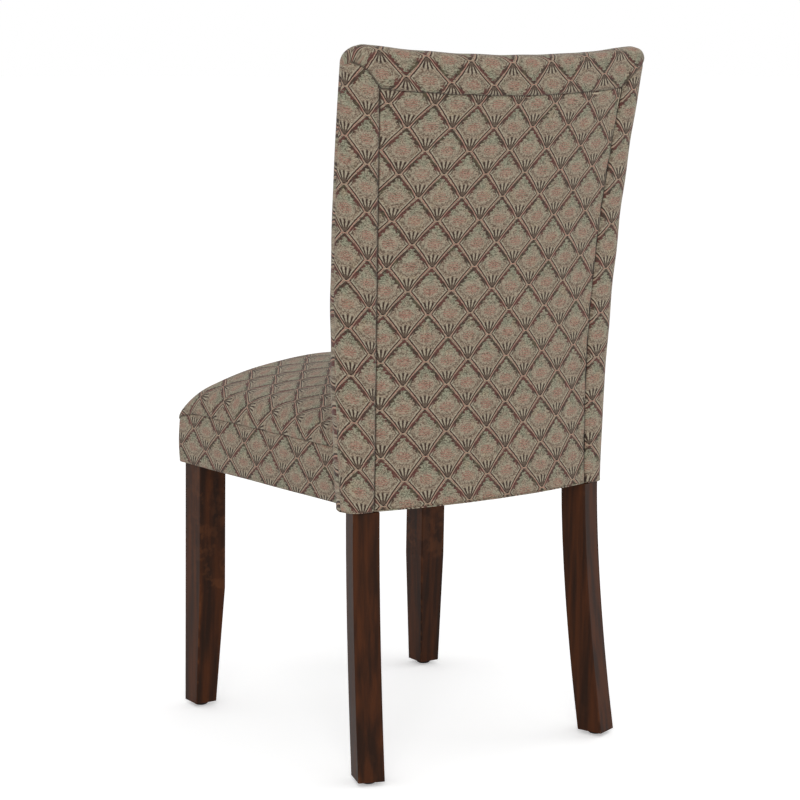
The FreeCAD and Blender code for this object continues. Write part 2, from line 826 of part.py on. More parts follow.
opening_corners = [
    Vector(side_outer_x(front_leg_top_side) - cover_turn_under, cover_turn_under, 0),
    Vector(side_outer_x(seat_frame_depth) - cover_turn_under, clear_reach, 0),
]
opening_corners += [Vector(-corner.x, corner.y, 0) for corner in reversed(opening_corners)]
cover_opening = prism(opening_corners, frame_underside)
seat_cover = seat_form(0.0, 0.0)
seat_cover = without(seat_cover, [seat_form(cloth, glide_height), cover_opening, back_room] + front_legs)
dust_low = frame_underside - cloth - dust_cover_thickness
dust_front = dust_cover_margin - seat_front_padding
dust_rear = seat_frame_depth - dust_cover_margin
dust_corners = [
    Vector(seat_half_width(dust_front) - dust_cover_margin, dust_front, dust_low),
    Vector(seat_half_width(dust_rear) - dust_cover_margin, dust_rear, dust_low),
]
dust_corners += [Vector(-corner.x, corner.y, dust_low) for corner in reversed(dust_corners)]
dust_cover = prism(dust_corners, dust_cover_thickness)
notch_x = leg_inner_x - easing
leg_notch = box(notch_x, clear_reach, -clear_reach, front_leg_top_side + easing, 0, frame_underside)
dust_cover = without(dust_cover, [leg_notch, mirrored(leg_notch), back_room])

# Webbing behind the back pad: straps down the front of the three rails

web_top_level = panel_top - panel_top_dip - back_web_top_room
web_stride = (web_top_level - frame_top) / lean_steps
web_sheet_levels = [frame_top + web_stride * step for step in range(lean_steps + 1)]
web_recess = back_frame_recess + back_rail_thickness
web_sheet = curved_band(web_sheet_levels, rail_reach, web_recess, webbing_thickness)
back_webs_solid = []
for index in range(back_webs):
    x = back_web_spacing * (index - (back_webs - 1) / 2.0)
    slot = box(x - webbing_width / 2.0, x + webbing_width / 2.0, 0, clear_reach, 0, chair_height)
    back_webs_solid.append(web_sheet.common(slot))

# Back pad: foam over the front of the webbing that wraps the posts' sides and the top rail

pad_inset = cloth + easing
pad_plane = web_recess + webbing_thickness + easing
below_pad = box(-clear_reach, clear_reach, 0, clear_reach, 0, frame_top + easing)
seat_room = seat_form(-easing, easing).common(below_pad)
inner_room = panel_column(0).common(room_behind(pad_plane).fuse(below_pad))
back_pad = back_form(pad_inset, frame_underside - cloth)
back_pad = without(back_pad, [inner_room, seat_room, top_rail_blank] + post_blanks)

# Outside of the back: stiff board, tack strips at its edges, and the panel that closes the back

panel_inner = panel_recess + cloth + easing
board_layer = back_form(panel_inner, frame_underside).cut(back_form(panel_inner + panel_board_thickness, 0))
board = board_layer.common(panel_block(tack_strip_inset + tack_strip_width + easing))
strip_frame = panel_block(tack_strip_inset).cut(panel_block(tack_strip_inset + tack_strip_width))
strips = board_layer.common(strip_frame)
panel = back_form(panel_recess, back_underside).cut(back_form(panel_recess + cloth, frame_underside - cloth))
panel = without(panel.common(panel_block(panel_seam_gap)), post_blanks)

# Inside back cover: one skin over the front, the sides, the top and the rear borders

back_cover = back_form(0.0, back_underside).cut(back_form(cloth, back_underside + cloth))
rail_room_levels = [frame_underside - easing, frame_top + easing]
rail_room = curved_band(rail_room_levels, rail_reach, back_frame_recess - easing, lower_rail_depth)
back_cover = without(back_cover, [panel_block(0), seat_room, rail_room] + post_blanks)

save("rear_post_left", [rear_post])
save("rear_post_right", [mirrored(rear_post)])
save("front_leg_left", [front_leg])
save("front_leg_right", [mirrored(front_leg)])
save("seat_front_rail", [front_rail])
save("seat_side_rail_left", [side_rail])
save("seat_side_rail_right", [mirrored(side_rail)])
save("seat_rear_rail", [rear_rail])
save("seat_corner_blocks", [front_block, rear_block, mirrored(front_block), mirrored(rear_block)])
save("corner_block_screws", block_screws + right_screws)
save("seat_frame_dowels", seat_dowels)
save("seat_back_bolts", bolts)
save("bolt_washers", washers)
save("threaded_inserts", inserts)
save("back_top_rail", [top_rail])
save("back_middle_rail", [middle_rail])
save("back_lower_rail", [lower_rail])
save("back_frame_dowels", back_dowels)
save("glides", [front_glide, mirrored(front_glide), rear_glide, mirrored(rear_glide)])
save("seat_webbing", seat_webs)
save("seat_platform_cloth", [platform_cloth])
save("seat_foam", [seat_foam])
save("seat_wadding", [seat_wadding])
save("seat_cover", [seat_cover])
save("dust_cover", [dust_cover])
save("back_webbing", back_webs_solid)
save("back_foam_pad", [back_pad])
save("outside_back_board", [board])
save("outside_back_tack_strips", [strips])
save("outside_back_panel", [panel])
save("inside_back_cover", [back_cover])
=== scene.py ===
"""Looks of a parsons dining chair: trellis cloth, padding, stained wood and a studio. Lengths are in metres.

+Z is up, the sitter faces -Y and has the left hand at +X. The origin is on the floor under the chair.
"""

import json
import logging
import math
from dataclasses import dataclass, field
from enum import Enum
from typing import Optional

import bpy
import numpy as np
from mathutils import Matrix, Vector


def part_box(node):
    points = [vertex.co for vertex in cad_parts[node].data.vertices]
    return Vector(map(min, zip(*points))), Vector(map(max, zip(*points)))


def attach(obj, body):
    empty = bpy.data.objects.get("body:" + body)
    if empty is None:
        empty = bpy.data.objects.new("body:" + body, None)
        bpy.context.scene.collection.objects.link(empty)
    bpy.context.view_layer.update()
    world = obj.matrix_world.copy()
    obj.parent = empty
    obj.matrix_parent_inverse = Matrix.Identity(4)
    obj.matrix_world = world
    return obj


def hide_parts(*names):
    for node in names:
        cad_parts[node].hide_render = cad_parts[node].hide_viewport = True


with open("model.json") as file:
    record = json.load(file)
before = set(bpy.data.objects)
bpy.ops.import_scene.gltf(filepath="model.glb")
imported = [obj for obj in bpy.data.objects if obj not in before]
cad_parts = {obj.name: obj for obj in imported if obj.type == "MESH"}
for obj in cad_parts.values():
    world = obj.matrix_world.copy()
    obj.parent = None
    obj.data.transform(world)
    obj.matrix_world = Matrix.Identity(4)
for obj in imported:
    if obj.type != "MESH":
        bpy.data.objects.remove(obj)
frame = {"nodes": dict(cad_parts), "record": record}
log = logging.getLogger("chair")

MM = 0.001
BODY = "root"
FRONT_TO_ORIGIN = 0.2343
CLOTH_THICKNESS = 0.0012
Colour = tuple[float, float, float]


def encoded(red: float, green: float, blue: float) -> Colour:
    """Linear light of a colour that is written in screen values.

    Args:
        red: The red value, from 0 to 255.
        green: The green value.
        blue: The blue value.
    Returns:
        The three shares of light.
    """
    shares = [value / 255.0 for value in (red, green, blue)]
    return tuple(s / 12.92 if s <= 0.04045 else ((s + 0.055) / 1.055) ** 2.4 for s in shares)


def smooth(values: np.ndarray, low: float, high: float) -> np.ndarray:
    """A step that rises from 0 at low to 1 at high as 3t^2 - 2t^3."""
    share = np.clip((values - low) / (high - low), 0.0, 1.0)
    return share * share * (3.0 - 2.0 * share)


# Meshes


@dataclass
class Patch:
    """A piece of surface as a grid of points, with the cloth's own coordinates at each point."""

    name: str
    points: np.ndarray
    cloth: dict[str, np.ndarray] = field(default_factory=dict)
    marks: dict[str, np.ndarray] = field(default_factory=dict)
    keep: Optional[np.ndarray] = None
    turned: bool = False

    def build(self) -> bpy.types.Object:
        """Makes the mesh object: point (row, column) joins its next row and column in four-sided faces.

        Returns:
            The object, at the origin, with smooth faces that point outwards.
        """
        rows, columns = self.points.shape[:2]
        index = np.arange(rows * columns).reshape(rows, columns)
        corners = [index[:-1, :-1], index[:-1, 1:], index[1:, 1:], index[1:, :-1]]
        quads = np.stack(corners[::-1] if self.turned else corners, axis=-1)
        keep = np.ones((rows - 1, columns - 1), bool) if self.keep is None else self.keep
        quads = quads[keep]
        used, compact = np.unique(quads, return_inverse=True)
        quads = compact.reshape(quads.shape)
        mesh = bpy.data.meshes.new(self.name)
        vertices = self.points.reshape(-1, 3)[used]
        mesh.vertices.add(len(vertices))
        mesh.vertices.foreach_set("co", vertices.astype(np.float32).ravel())
        mesh.loops.add(quads.size)
        mesh.loops.foreach_set("vertex_index", quads.ravel().astype(np.int32))
        mesh.polygons.add(len(quads))
        mesh.polygons.foreach_set("loop_start", np.arange(0, quads.size, 4, dtype=np.int32))
        mesh.polygons.foreach_set("use_smooth", np.ones(len(quads), bool))
        mesh.update(calc_edges=True)
        for name, grid in self.cloth.items():
            layer = mesh.uv_layers.new(name=name)
            flat = grid.reshape(-1, 2)[used][quads.ravel()]
            layer.data.foreach_set("uv", flat.astype(np.float32).ravel())
        for name, grid in self.marks.items():
            mark = mesh.attributes.new(name, "FLOAT", "POINT")
            mark.data.foreach_set("value", grid.reshape(-1)[used].astype(np.float32))
        piece = bpy.data.objects.new(self.name, mesh)
        bpy.context.scene.collection.objects.link(piece)
        return piece


def declare_cloth(patch: Patch) -> None:
    """Takes the diagonals of a piece's faces, and keeps nothing from them.

    Args:
        patch: The patch that it was made from.
    """
    points = patch.points
    first = points[1:, 1:] - points[:-1, :-1]
    second = points[1:, :-1] - points[:-1, 1:]


def thicken(piece: bpy.types.Object, thickness: float = CLOTH_THICKNESS) -> None:
    """Gives a cloth its thickness inwards, so that its outer face stays in place.

    Args:
        piece: The cloth.
        thickness: Its thickness in metres.
    """
    wall = piece.modifiers.new("cloth", "SOLIDIFY")
    wall.thickness = thickness
    wall.offset = -1.0
    wall.use_even_offset = False


def seat_on_frame(piece: bpy.types.Object, nodes: tuple[str, ...] = ()) -> None:
    """Puts a finished piece on the chair's one body, hides the nodes that it replaces and logs its number of
    faces.

    Args:
        piece: The finished piece.
        nodes: The nodes that it replaces.
    """
    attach(piece, BODY)
    if nodes:
        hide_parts(*nodes)
    log.info("%s: %d faces", piece.name, len(piece.data.polygons))


# Shader trees


class Wire:
    """A value in a shader tree. Sums, products and comparisons of wires make math nodes."""

    def __init__(self, tree: bpy.types.NodeTree, output: bpy.types.NodeSocket) -> None:
        """Keeps the tree and the socket that the value comes out of."""
        self.tree = tree
        self.output = output

    def math(self, operation: str, *others: "Wire | float") -> "Wire":
        """The result of one math node.

        Args:
            operation: Blender's name of the operation.
            others: The node's other inputs.
        Returns:
            The node's output.
        """
        node = self.tree.nodes.new("ShaderNodeMath")
        node.operation = operation
        for socket, value in zip(node.inputs, (self, *others)):
            if isinstance(value, Wire):
                self.tree.links.new(value.output, socket)
            else:
                socket.default_value = value
        return Wire(self.tree, node.outputs[0])

    def __add__(self, other: "Wire | float") -> "Wire":
        """The sum."""
        return self.math("ADD", other)

    def __sub__(self, other: "Wire | float") -> "Wire":
        """The difference."""
        return self.math("SUBTRACT", other)

    def __mul__(self, other: "Wire | float") -> "Wire":
        """The product."""
        return self.math("MULTIPLY", other)

    def __truediv__(self, other: "Wire | float") -> "Wire":
        """The quotient."""
        return self.math("DIVIDE", other)

    def __neg__(self) -> "Wire":
        """The value with its sign turned."""
        return self * -1.0

    def __abs__(self) -> "Wire":
        """The size without its sign."""
        return self.math("ABSOLUTE")

    def inverse(self) -> "Wire":
        """One minus the value."""
        return (self * -1.0) + 1.0

    def rise(self, low: float, high: float) -> "Wire":
        """A soft step.

        Args:
            low: Where it is 0. It may be above high, for a falling step.
            high: Where it is 1.
        Returns:
            The step.
        """
        node = self.tree.nodes.new("ShaderNodeMapRange")
        node.interpolation_type = "SMOOTHSTEP"
        falling = low > high
        node.inputs["From Min"].default_value = min(low, high)
        node.inputs["From Max"].default_value = max(low, high)
        self.tree.links.new(self.output, node.inputs["Value"])
        result = Wire(self.tree, node.outputs[0])
        return result.inverse() if falling else result

    def band(self, low: float, high: float, soft: float) -> "Wire":
        """A mask that is 1 between low and high and fades over a soft width at both."""
        return self.rise(low - soft, low + soft) * self.rise(high + soft, high - soft)


def mixed(factor: Wire, first: "Wire | Colour", second: "Wire | Colour") -> Wire:
    """Two colours blended by a factor.

    Args:
        factor: The share of the second colour.
        first: The colour at 0.
        second: The colour at 1.
    Returns:
        The blend.
    """
    tree = factor.tree
    node = tree.nodes.new("ShaderNodeMix")
    node.data_type = "RGBA"
    tree.links.new(factor.output, node.inputs[0])
    for socket, value in ((node.inputs[6], first), (node.inputs[7], second)):
        if isinstance(value, Wire):
            tree.links.new(value.output, socket)
        else:
            socket.default_value = (*value, 1.0)
    return Wire(tree, node.outputs[2])


def noise(place: Wire, scale: float, detail: float = 2.0, stretch: Colour = (1.0, 1.0, 1.0)) -> Wire:
    """Soft noise from 0 to 1.

    Args:
        place: The place that it depends on.
        scale: How many of its blobs there are in a metre.
        detail: How many finer layers it has.
        stretch: What each axis of the place is multiplied by first.
    Returns:
        The noise.
    """
    tree = place.tree
    mapping = tree.nodes.new("ShaderNodeMapping")
    mapping.inputs["Scale"].default_value = stretch
    tree.links.new(place.output, mapping.inputs["Vector"])
    node = tree.nodes.new("ShaderNodeTexNoise")
    node.inputs["Scale"].default_value = scale
    node.inputs["Detail"].default_value = detail
    tree.links.new(mapping.outputs[0], node.inputs["Vector"])
    return Wire(tree, node.outputs[0])


def split(place: Wire) -> tuple[Wire, Wire, Wire]:
    """Takes a vector apart.

    Args:
        place: The vector.
    Returns:
        Its three parts.
    """
    node = place.tree.nodes.new("ShaderNodeSeparateXYZ")
    place.tree.links.new(place.output, node.inputs[0])
    return tuple(Wire(place.tree, output) for output in node.outputs)


class EffectGroup:
    """A shader node group that turns a place on the surface into colours, masks or heights."""

    def __init__(self, name: str, inputs: dict[str, str], outputs: dict[str, str]) -> None:
        """Makes the empty group.

        Args:
            name: The group's name.
            inputs: Each input's name and kind of socket.
            outputs: Each output's name and kind of socket.
        """
        self.tree = bpy.data.node_groups.new(name, "ShaderNodeTree")
        for label, kind in inputs.items():
            self.tree.interface.new_socket(label, in_out="INPUT", socket_type=kind)
        for label, kind in outputs.items():
            self.tree.interface.new_socket(label, in_out="OUTPUT", socket_type=kind)
        self.given = self.tree.nodes.new("NodeGroupInput")
        self.result = self.tree.nodes.new("NodeGroupOutput")

    def input(self, label: str) -> Wire:
        """What comes in under a name."""
        return Wire(self.tree, self.given.outputs[label])

    def put(self, label: str, value: Wire) -> None:
        """Sends a value out under a name."""
        self.tree.links.new(value.output, self.result.inputs[label])

    def place(self, tree: bpy.types.NodeTree, **values: "Wire | float") -> dict[str, Wire]:
        """Adds the group to a material.

        Args:
            tree: The material's tree.
            values: What feeds each input, by its name.
        Returns:
            The group's outputs by name.
        """
        node = tree.nodes.new("ShaderNodeGroup")
        node.node_tree = self.tree
        for label, value in values.items():
            if isinstance(value, Wire):
                tree.links.new(value.output, node.inputs[label])
            else:
                node.inputs[label].default_value = value
        return {output.name: Wire(tree, output) for output in node.outputs}


def scaled(colour: Wire, factor: Wire) -> Wire:
    """A colour times a number.

    Args:
        colour: The colour.
        factor: The number.
    Returns:
        The product.
    """
    node = colour.tree.nodes.new("ShaderNodeVectorMath")
    node.operation = "SCALE"
    colour.tree.links.new(colour.output, node.inputs[0])
    colour.tree.links.new(factor.output, node.inputs["Scale"])
    return Wire(colour.tree, node.outputs[0])


@dataclass
class Diamond:
    """A place in one diamond of the trellis. Lengths are in millimetres, and x and y run from its middle."""

    cloth: Wire
    x: Wire
    y: Wire
    reach: Wire
    rise: Wire
    lower: Wire
    inside: Wire
    from_cord: Wire
    from_foot: Wire
    ragged: Wire


@dataclass(frozen=True)
class Trellis:
    """The woven pattern's sizes in millimetres and its yarn colours."""

    width: float = 64.5
    height: float = 60.3
    knot: float = 3.6
    curl: float = 1.22
    unevenness: float = 0.9
    half_soft: float = 0.3
    tip_soft: float = 2.4
    cord: float = 0.56
    cord_soft: float = 0.3
    dark_line: tuple[float, float] = (0.6, 2.3)
    light_line: tuple[float, float] = (2.7, 3.7)
    light_arc: tuple[float, float] = (3.2, 4.2)
    dark_arc: tuple[float, float] = (4.6, 5.9)
    arc_start: float = 14.0
    arc_full: float = 9.0
    arc_height: float = 9.0
    band_depth: float = 5.6
    tooth: float = 1.0
    tooth_turn: float = 1.25
    tooth_ragged: float = 9.0
    heart_across: float = 8.66
    heart_up: float = 5.1
    heart_rise: float = 1.0
    petal_turn: float = 1.3
    petal_depth: float = 0.16
    stitch_turn: float = 2.3
    fan_near: float = 6.5
    fan_far: float = 17.5
    fan_soft: float = 1.6
    fan_spread: float = 0.98
    rib_turn: float = 17.0
    root_clear: float = 9.5
    root_full: float = 6.5
    ground: Colour = encoded(164, 144, 123)
    sage: Colour = encoded(148, 150, 126)
    sand: Colour = encoded(176, 156, 124)
    cord_pink: Colour = encoded(196, 150, 130)
    cord_cream: Colour = encoded(194, 164, 140)
    umber: Colour = encoded(58, 38, 30)
    russet: Colour = encoded(96, 46, 42)
    olive: Colour = encoded(84, 74, 52)
    light: Colour = encoded(186, 178, 155)
    rose: Colour = encoded(176, 122, 106)
    fan: Colour = encoded(84, 66, 54)
    ink: Colour = encoded(62, 46, 38)

    def diamond(self, cloth: Wire) -> Diamond:
        """Finds a place in its diamond, and its distance from the cords.

        With a = u/W + v/H and b = u/W - v/H, the cords cross where a and b are whole numbers. Each cord
        bends like t^curl between two flat knots. With A = W/2 - 2 knot, its x is knot + A t^curl below
        the diamond's middle, where t is 0 at the foot, and W/2 - knot - A t^curl above it, where t is 0 at
        the middle. So it meets each knot upright from above.

        Args:
            cloth: The cloth's coordinates (u, v, 0) in metres.
        Returns:
            The place in the diamond.
        """
        half_width = self.width / 2.0
        half_height = self.height / 2.0
        across, along, _ = split(cloth)
        wobble = (noise(cloth, scale=260.0, detail=1.0) - 0.5) * (self.unevenness * MM)
        p = (across + wobble) * (1.0 / (self.width * MM))
        q = (along - wobble) * (1.0 / (self.height * MM))
        first = (p + q).math("FRACT") - 0.5
        second = (p - q).math("FRACT") - 0.5
        x = (first + second) * half_width
        y = (first - second) * half_height
        reach = abs(x)
        rise = abs(y)
        lower = y.rise(self.half_soft, -self.half_soft)
        span = half_width - 2.0 * self.knot
        share = rise * (1.0 / half_height)
        t = (share.inverse() * lower + share * lower.inverse()).math("MAXIMUM", 0.0)
        swing = t.math("POWER", self.curl) * span
        edge = (swing + self.knot) * lower + (-swing + (half_width - self.knot)) * lower.inverse()
        slope = t.math("POWER", self.curl - 1.0) * (span / half_height * self.curl)
        lean = (slope * slope + 1.0).math("SQRT")
        side = (edge - reach) / lean
        inside = side.math("SMOOTH_MIN", -rise + half_height, self.tip_soft)
        knot_reach = (-reach + (half_width - self.knot)).math("MAXIMUM", 0.0)
        from_knot = (knot_reach * knot_reach + y * y).math("SQRT")
        from_cord = abs(inside).math("MINIMUM", from_knot)
        foot = y + half_height
        from_foot = (x * x + foot * foot).math("SQRT")
        ragged = noise(cloth, scale=330.0) - 0.5
        return Diamond(cloth, x, y, reach, rise, lower, inside, from_cord, from_foot, ragged)

    def ground_colour(self, spot: Diamond) -> Wire:
        """The ground: grey-tan, with sage towards the upper tip and fine light and dark curls.

        Args:
            spot: The place in the diamond.
        Returns:
            The ground's colour.
        """
        sage_blobs, sage_drift, sage_step = 95.0, 0.022, (-0.1, 0.6)
        sand_blobs, sand_step, sand_most = 42.0, (0.55, 0.75), 0.6
        curl_blobs, curl_shape, curl_turns = 150.0, (0.75, 1.3, 1.0), 40.0
        light_step, light_most = (0.3, 0.9), 0.5
        dark_step, dark_most = (-0.1, -0.8), 0.66
        sage_share = (noise(spot.cloth, scale=sage_blobs, detail=3.0) - 0.5) * 2.0 + spot.y * sage_drift
        base = mixed(sage_share.rise(*sage_step), self.ground, self.sage)
        sand_share = noise(spot.cloth, scale=sand_blobs).rise(*sand_step)
        base = mixed(sand_share * sand_most, base, self.sand)
        turns = noise(spot.cloth, scale=curl_blobs, detail=1.2, stretch=curl_shape) * curl_turns
        curls = turns.math("SINE")
        base = mixed(curls.rise(*light_step) * light_most, base, self.light)
        return mixed(curls.rise(*dark_step) * dark_most, base, self.fan)

    def add_heart(self, spot: Diamond, base: Wire) -> Wire:
        """The rosy heart: crosswise stitches in an ellipse (x/a)^2 + (y/b)^2 with a petalled rim.

        Args:
            spot: The place in the diamond.
            base: The colour so far.
        Returns:
            The colour with the heart and its light and dark rims.
        """
        stitch_ragged, stitch_step = 5.0, (-0.3, 0.6)
        fill_ragged, fill_step, fill_most = 0.9, (1.7, 0.7), 0.7
        rim_ragged = 0.8
        light_rim, light_soft, light_most = (1.35, 1.75), 0.15, 0.35
        dark_rim, dark_soft, dark_most = (1.8, 2.15), 0.12, 0.4
        up = spot.y - self.heart_rise
        oval = (spot.x * spot.x) * (1.0 / self.heart_across**2) + (up * up) * (1.0 / self.heart_up**2)
        petals = (spot.x * self.petal_turn).math("SINE") * self.petal_depth
        heart = oval.math("SQRT") + petals
        rows = (spot.y + spot.ragged * stitch_ragged) * self.stitch_turn
        stitches = rows.math("SINE").rise(*stitch_step)
        filled = (heart + spot.ragged * fill_ragged).rise(*fill_step)
        base = mixed(filled * stitches * fill_most, base, self.rose)
        rim = heart + spot.ragged * rim_ragged
        base = mixed(rim.band(*light_rim, light_soft) * light_most, base, self.light)
        return mixed(rim.band(*dark_rim, dark_soft) * spot.lower * dark_most, base, self.fan)

    def add_fan(self, spot: Diamond, base: Wire) -> Wire:
        """The fan at the diamond's foot: ribs where the cosine of the angle times a turn is high, and a root.

        Args:
            spot: The place in the diamond.
            base: The colour so far.
        Returns:
            The colour with the fan.
        """
        below_foot = 1.5
        rib_ragged, rib_step = 1.1, (0.0, 0.5)
        gap_step, gap_most = (-0.2, -0.8), 0.7
        spread_soft = 0.1
        root_ragged, root_most = 3.0, 0.8
        angle = spot.x.math("ARCTAN2", spot.y + (self.height / 2.0 + below_foot))
        ribs = (angle * self.rib_turn).math("COSINE") + spot.ragged * rib_ragged
        zone = spot.from_foot.band(self.fan_near, self.fan_far, self.fan_soft)
        zone = zone * abs(angle).rise(self.fan_spread, self.fan_spread - spread_soft) * spot.lower
        base = mixed(ribs.rise(*rib_step) * zone, base, self.ink)
        base = mixed(ribs.rise(*gap_step) * zone * gap_most, base, self.light)
        root = (spot.from_foot + spot.ragged * root_ragged).rise(self.root_clear, self.root_full)
        return mixed(root * spot.lower * root_most, base, self.fan)

    def add_edging(self, spot: Diamond, base: Wire) -> Wire:
        """What runs beside the cords: a toothed dark band above, two lines below and arcs at the side tips.

        The band's depth is band_depth + tooth sin(turn y), made ragged.

        Args:
            spot: The place in the diamond.
            base: The colour so far.
        Returns:
            The colour with the edging.
        """
        edge_ragged = 0.7
        band_soft, band_start, band_most = 0.7, (0.4, 0.9), 0.9
        upper_step = (1.0, 5.0)
        tint_blobs, russet_step, olive_step = 70.0, (0.42, 0.58), (0.42, 0.3)
        line_soft, dark_most, light_most = 0.35, 0.95, 0.8
        fan_step = (10.0, 15.0)
        arc_step, arc_soft, dark_arc_most, light_arc_most = (0.0, 2.0), 0.4, 0.9, 0.85
        half_width = self.width / 2.0
        tip = spot.reach.rise(half_width - self.arc_start, half_width - self.arc_full)
        depth = spot.inside + spot.ragged * edge_ragged
        teeth = (spot.y * self.tooth_turn).math("SINE") * self.tooth + spot.ragged * self.tooth_ragged
        band = (depth - (teeth + self.band_depth)).rise(band_soft, -band_soft) * depth.rise(*band_start)
        upper = spot.lower.inverse() * spot.y.rise(*upper_step)
        tint = noise(spot.cloth, scale=tint_blobs, detail=1.0)
        colour = mixed(tint.rise(*russet_step), self.umber, self.russet)
        colour = mixed(tint.rise(*olive_step), colour, self.olive)
        base = mixed(band * upper * band_most, base, colour)
        below = upper.inverse()
        dark_line = depth.band(*self.dark_line, self.cord_soft) * below
        base = mixed(dark_line * dark_most, base, self.umber)
        light_line = depth.band(*self.light_line, line_soft) * below * spot.from_foot.rise(*fan_step)
        base = mixed(light_line * light_most, base, self.light)
        arcs = tip * (-spot.rise + self.arc_height).rise(*arc_step)
        base = mixed(depth.band(*self.light_arc, line_soft) * arcs * light_arc_most, base, self.light)
        return mixed(depth.band(*self.dark_arc, arc_soft) * arcs * dark_arc_most, base, self.ink)

    def group(self) -> EffectGroup:
        """The pattern as a node group: an ogee trellis of cords with a small plant in each diamond.

        Returns:
            The group, with Color and Height over Cloth, which is (u, v, 0) in metres.
        """
        group = EffectGroup(
            "trellis",
            {"Cloth": "NodeSocketVector"},
            {"Color": "NodeSocketColor", "Height": "NodeSocketFloat"},
        )
        cloth = group.input("Cloth")
        spot = self.diamond(cloth)
        base = self.add_heart(spot, self.ground_colour(spot))
        base = self.add_edging(spot, self.add_fan(spot, base))
        cord_blobs, cord_step = 60.0, (0.4, 0.6)
        thread_count, thread_shape, thread_shade = 520.0, (0.6, 1.9, 1.0), 0.8
        streak_count, streak_shape, streak_shade = 900.0, (0.35, 1.6, 1.0), 0.5
        mean_shade = 0.86
        cord_height, thread_height, streak_height = 0.9, 0.45, 0.6
        cord_tint = noise(cloth, scale=cord_blobs, detail=1.0).rise(*cord_step)
        cord_colour = mixed(cord_tint, self.cord_pink, self.cord_cream)
        on_cord = spot.from_cord.rise(self.cord + self.cord_soft, self.cord - self.cord_soft)
        threads = noise(cloth, scale=thread_count, stretch=thread_shape)
        streaks = noise(cloth, scale=streak_count, detail=1.0, stretch=streak_shape) - 0.5
        streaks = streaks * streak_shade
        shade = (threads - 0.5) * thread_shade + mean_shade + streaks
        group.put("Color", scaled(mixed(on_cord, base, cord_colour), shade))
        crown = spot.from_cord * (1.0 / (self.cord + self.cord_soft))
        round_cord = (crown * crown).inverse().math("MAXIMUM", 0.0)
        height = round_cord * cord_height + threads * thread_height + streaks * streak_height
        group.put("Height", height)
        return group


def build_weave() -> EffectGroup:
    """Plain weave: threads over and under, as the product of two sine waves of the cloth's coordinates.

    Returns:
        The group, with Height from 0 to 1 over Cloth in metres at a Pitch in metres.
    """
    group = EffectGroup(
        "weave",
        {"Cloth": "NodeSocketVector", "Pitch": "NodeSocketFloat"},
        {"Height": "NodeSocketFloat"},
    )
    across, along, third = split(group.input("Cloth"))
    pitch = group.input("Pitch")
    waves = [((part / pitch) * math.pi).math("SINE") for part in (across, along + third)]
    group.put("Height", waves[0] * waves[1] * 0.5 + 0.5)
    return group


def build_grain() -> EffectGroup:
    """Wood grain: noise that is drawn out along the height of the piece, with fine pores.

    Returns:
        The group, with Grain and Pores from 0 to 1 over Place in metres.
    """
    group = EffectGroup(
        "grain", {"Place": "NodeSocketVector"}, {"Grain": "NodeSocketFloat", "Pores": "NodeSocketFloat"}
    )
    grain_drawn, pores_drawn = (1.0, 1.0, 0.07), (1.0, 1.0, 0.03)
    place = group.input("Place")
    group.put("Grain", noise(place, scale=90.0, detail=4.0, stretch=grain_drawn))
    group.put("Pores", noise(place, scale=900.0, stretch=pores_drawn))
    return group


def build_wear() -> EffectGroup:
    """Edge wear: where the surface bends sharply it is rubbed, in broken patches.

    Returns:
        The group, with Wear from 0 to 1 over Place.
    """
    group = EffectGroup("wear", {"Place": "NodeSocketVector"}, {"Wear": "NodeSocketFloat"})
    bend_step, patch_step = (0.52, 0.6), (0.45, 0.62)
    geometry = group.tree.nodes.new("ShaderNodeNewGeometry")
    bend = Wire(group.tree, geometry.outputs["Pointiness"]).rise(*bend_step)
    broken = noise(group.input("Place"), scale=70.0, detail=3.0).rise(*patch_step)
    group.put("Wear", bend * broken)
    return group


class Workshop:
    """Holds the shared effects and makes the materials from them."""

    def __init__(self) -> None:
        """Builds each shared effect once."""
        self.trellis = Trellis().group()
        self.weave = build_weave()
        self.grain = build_grain()
        self.wear = build_wear()
        self.kept: dict[str, bpy.types.Material] = {}

    def start(self, name: str) -> tuple[bpy.types.Material, bpy.types.NodeTree, bpy.types.Node]:
        """A new material.

        Args:
            name: Its name.
        Returns:
            The material, its tree and its one shader.
        """
        material = bpy.data.materials.new(name)
        material.use_nodes = True
        tree = material.node_tree
        shader = next(node for node in tree.nodes if node.type == "BSDF_PRINCIPLED")
        return material, tree, shader

    def bump(self, shader: bpy.types.Node, height: Wire, depth: float) -> None:
        """Feeds a height to the shader's normal.

        Args:
            shader: The material's shader.
            height: The height, from 0 to 1.
            depth: How high 1 is, in metres.
        """
        tree = height.tree
        node = tree.nodes.new("ShaderNodeBump")
        node.inputs["Strength"].default_value = 1.0
        node.inputs["Distance"].default_value = depth
        tree.links.new(height.output, node.inputs["Height"])
        tree.links.new(node.outputs[0], shader.inputs["Normal"])

    def own_place(self, tree: bpy.types.NodeTree) -> Wire:
        """The place in the piece's own coordinates."""
        node = tree.nodes.new("ShaderNodeTexCoord")
        return Wire(tree, node.outputs["Object"])

    def cloth_place(self, tree: bpy.types.NodeTree, name: str) -> Wire:
        """The place in a piece's cloth coordinates.

        Args:
            tree: The material's tree.
            name: The name of the coordinates.
        Returns:
            The place.
        """
        node = tree.nodes.new("ShaderNodeUVMap")
        node.uv_map = name
        return Wire(tree, node.outputs[0])

    def mark(self, tree: bpy.types.NodeTree, name: str) -> Wire:
        """A number that is kept at the piece's points.

        Args:
            tree: The material's tree.
            name: The number's name.
        Returns:
            The number.
        """
        node = tree.nodes.new("ShaderNodeAttribute")
        node.attribute_name = name
        return Wire(tree, node.outputs["Fac"])


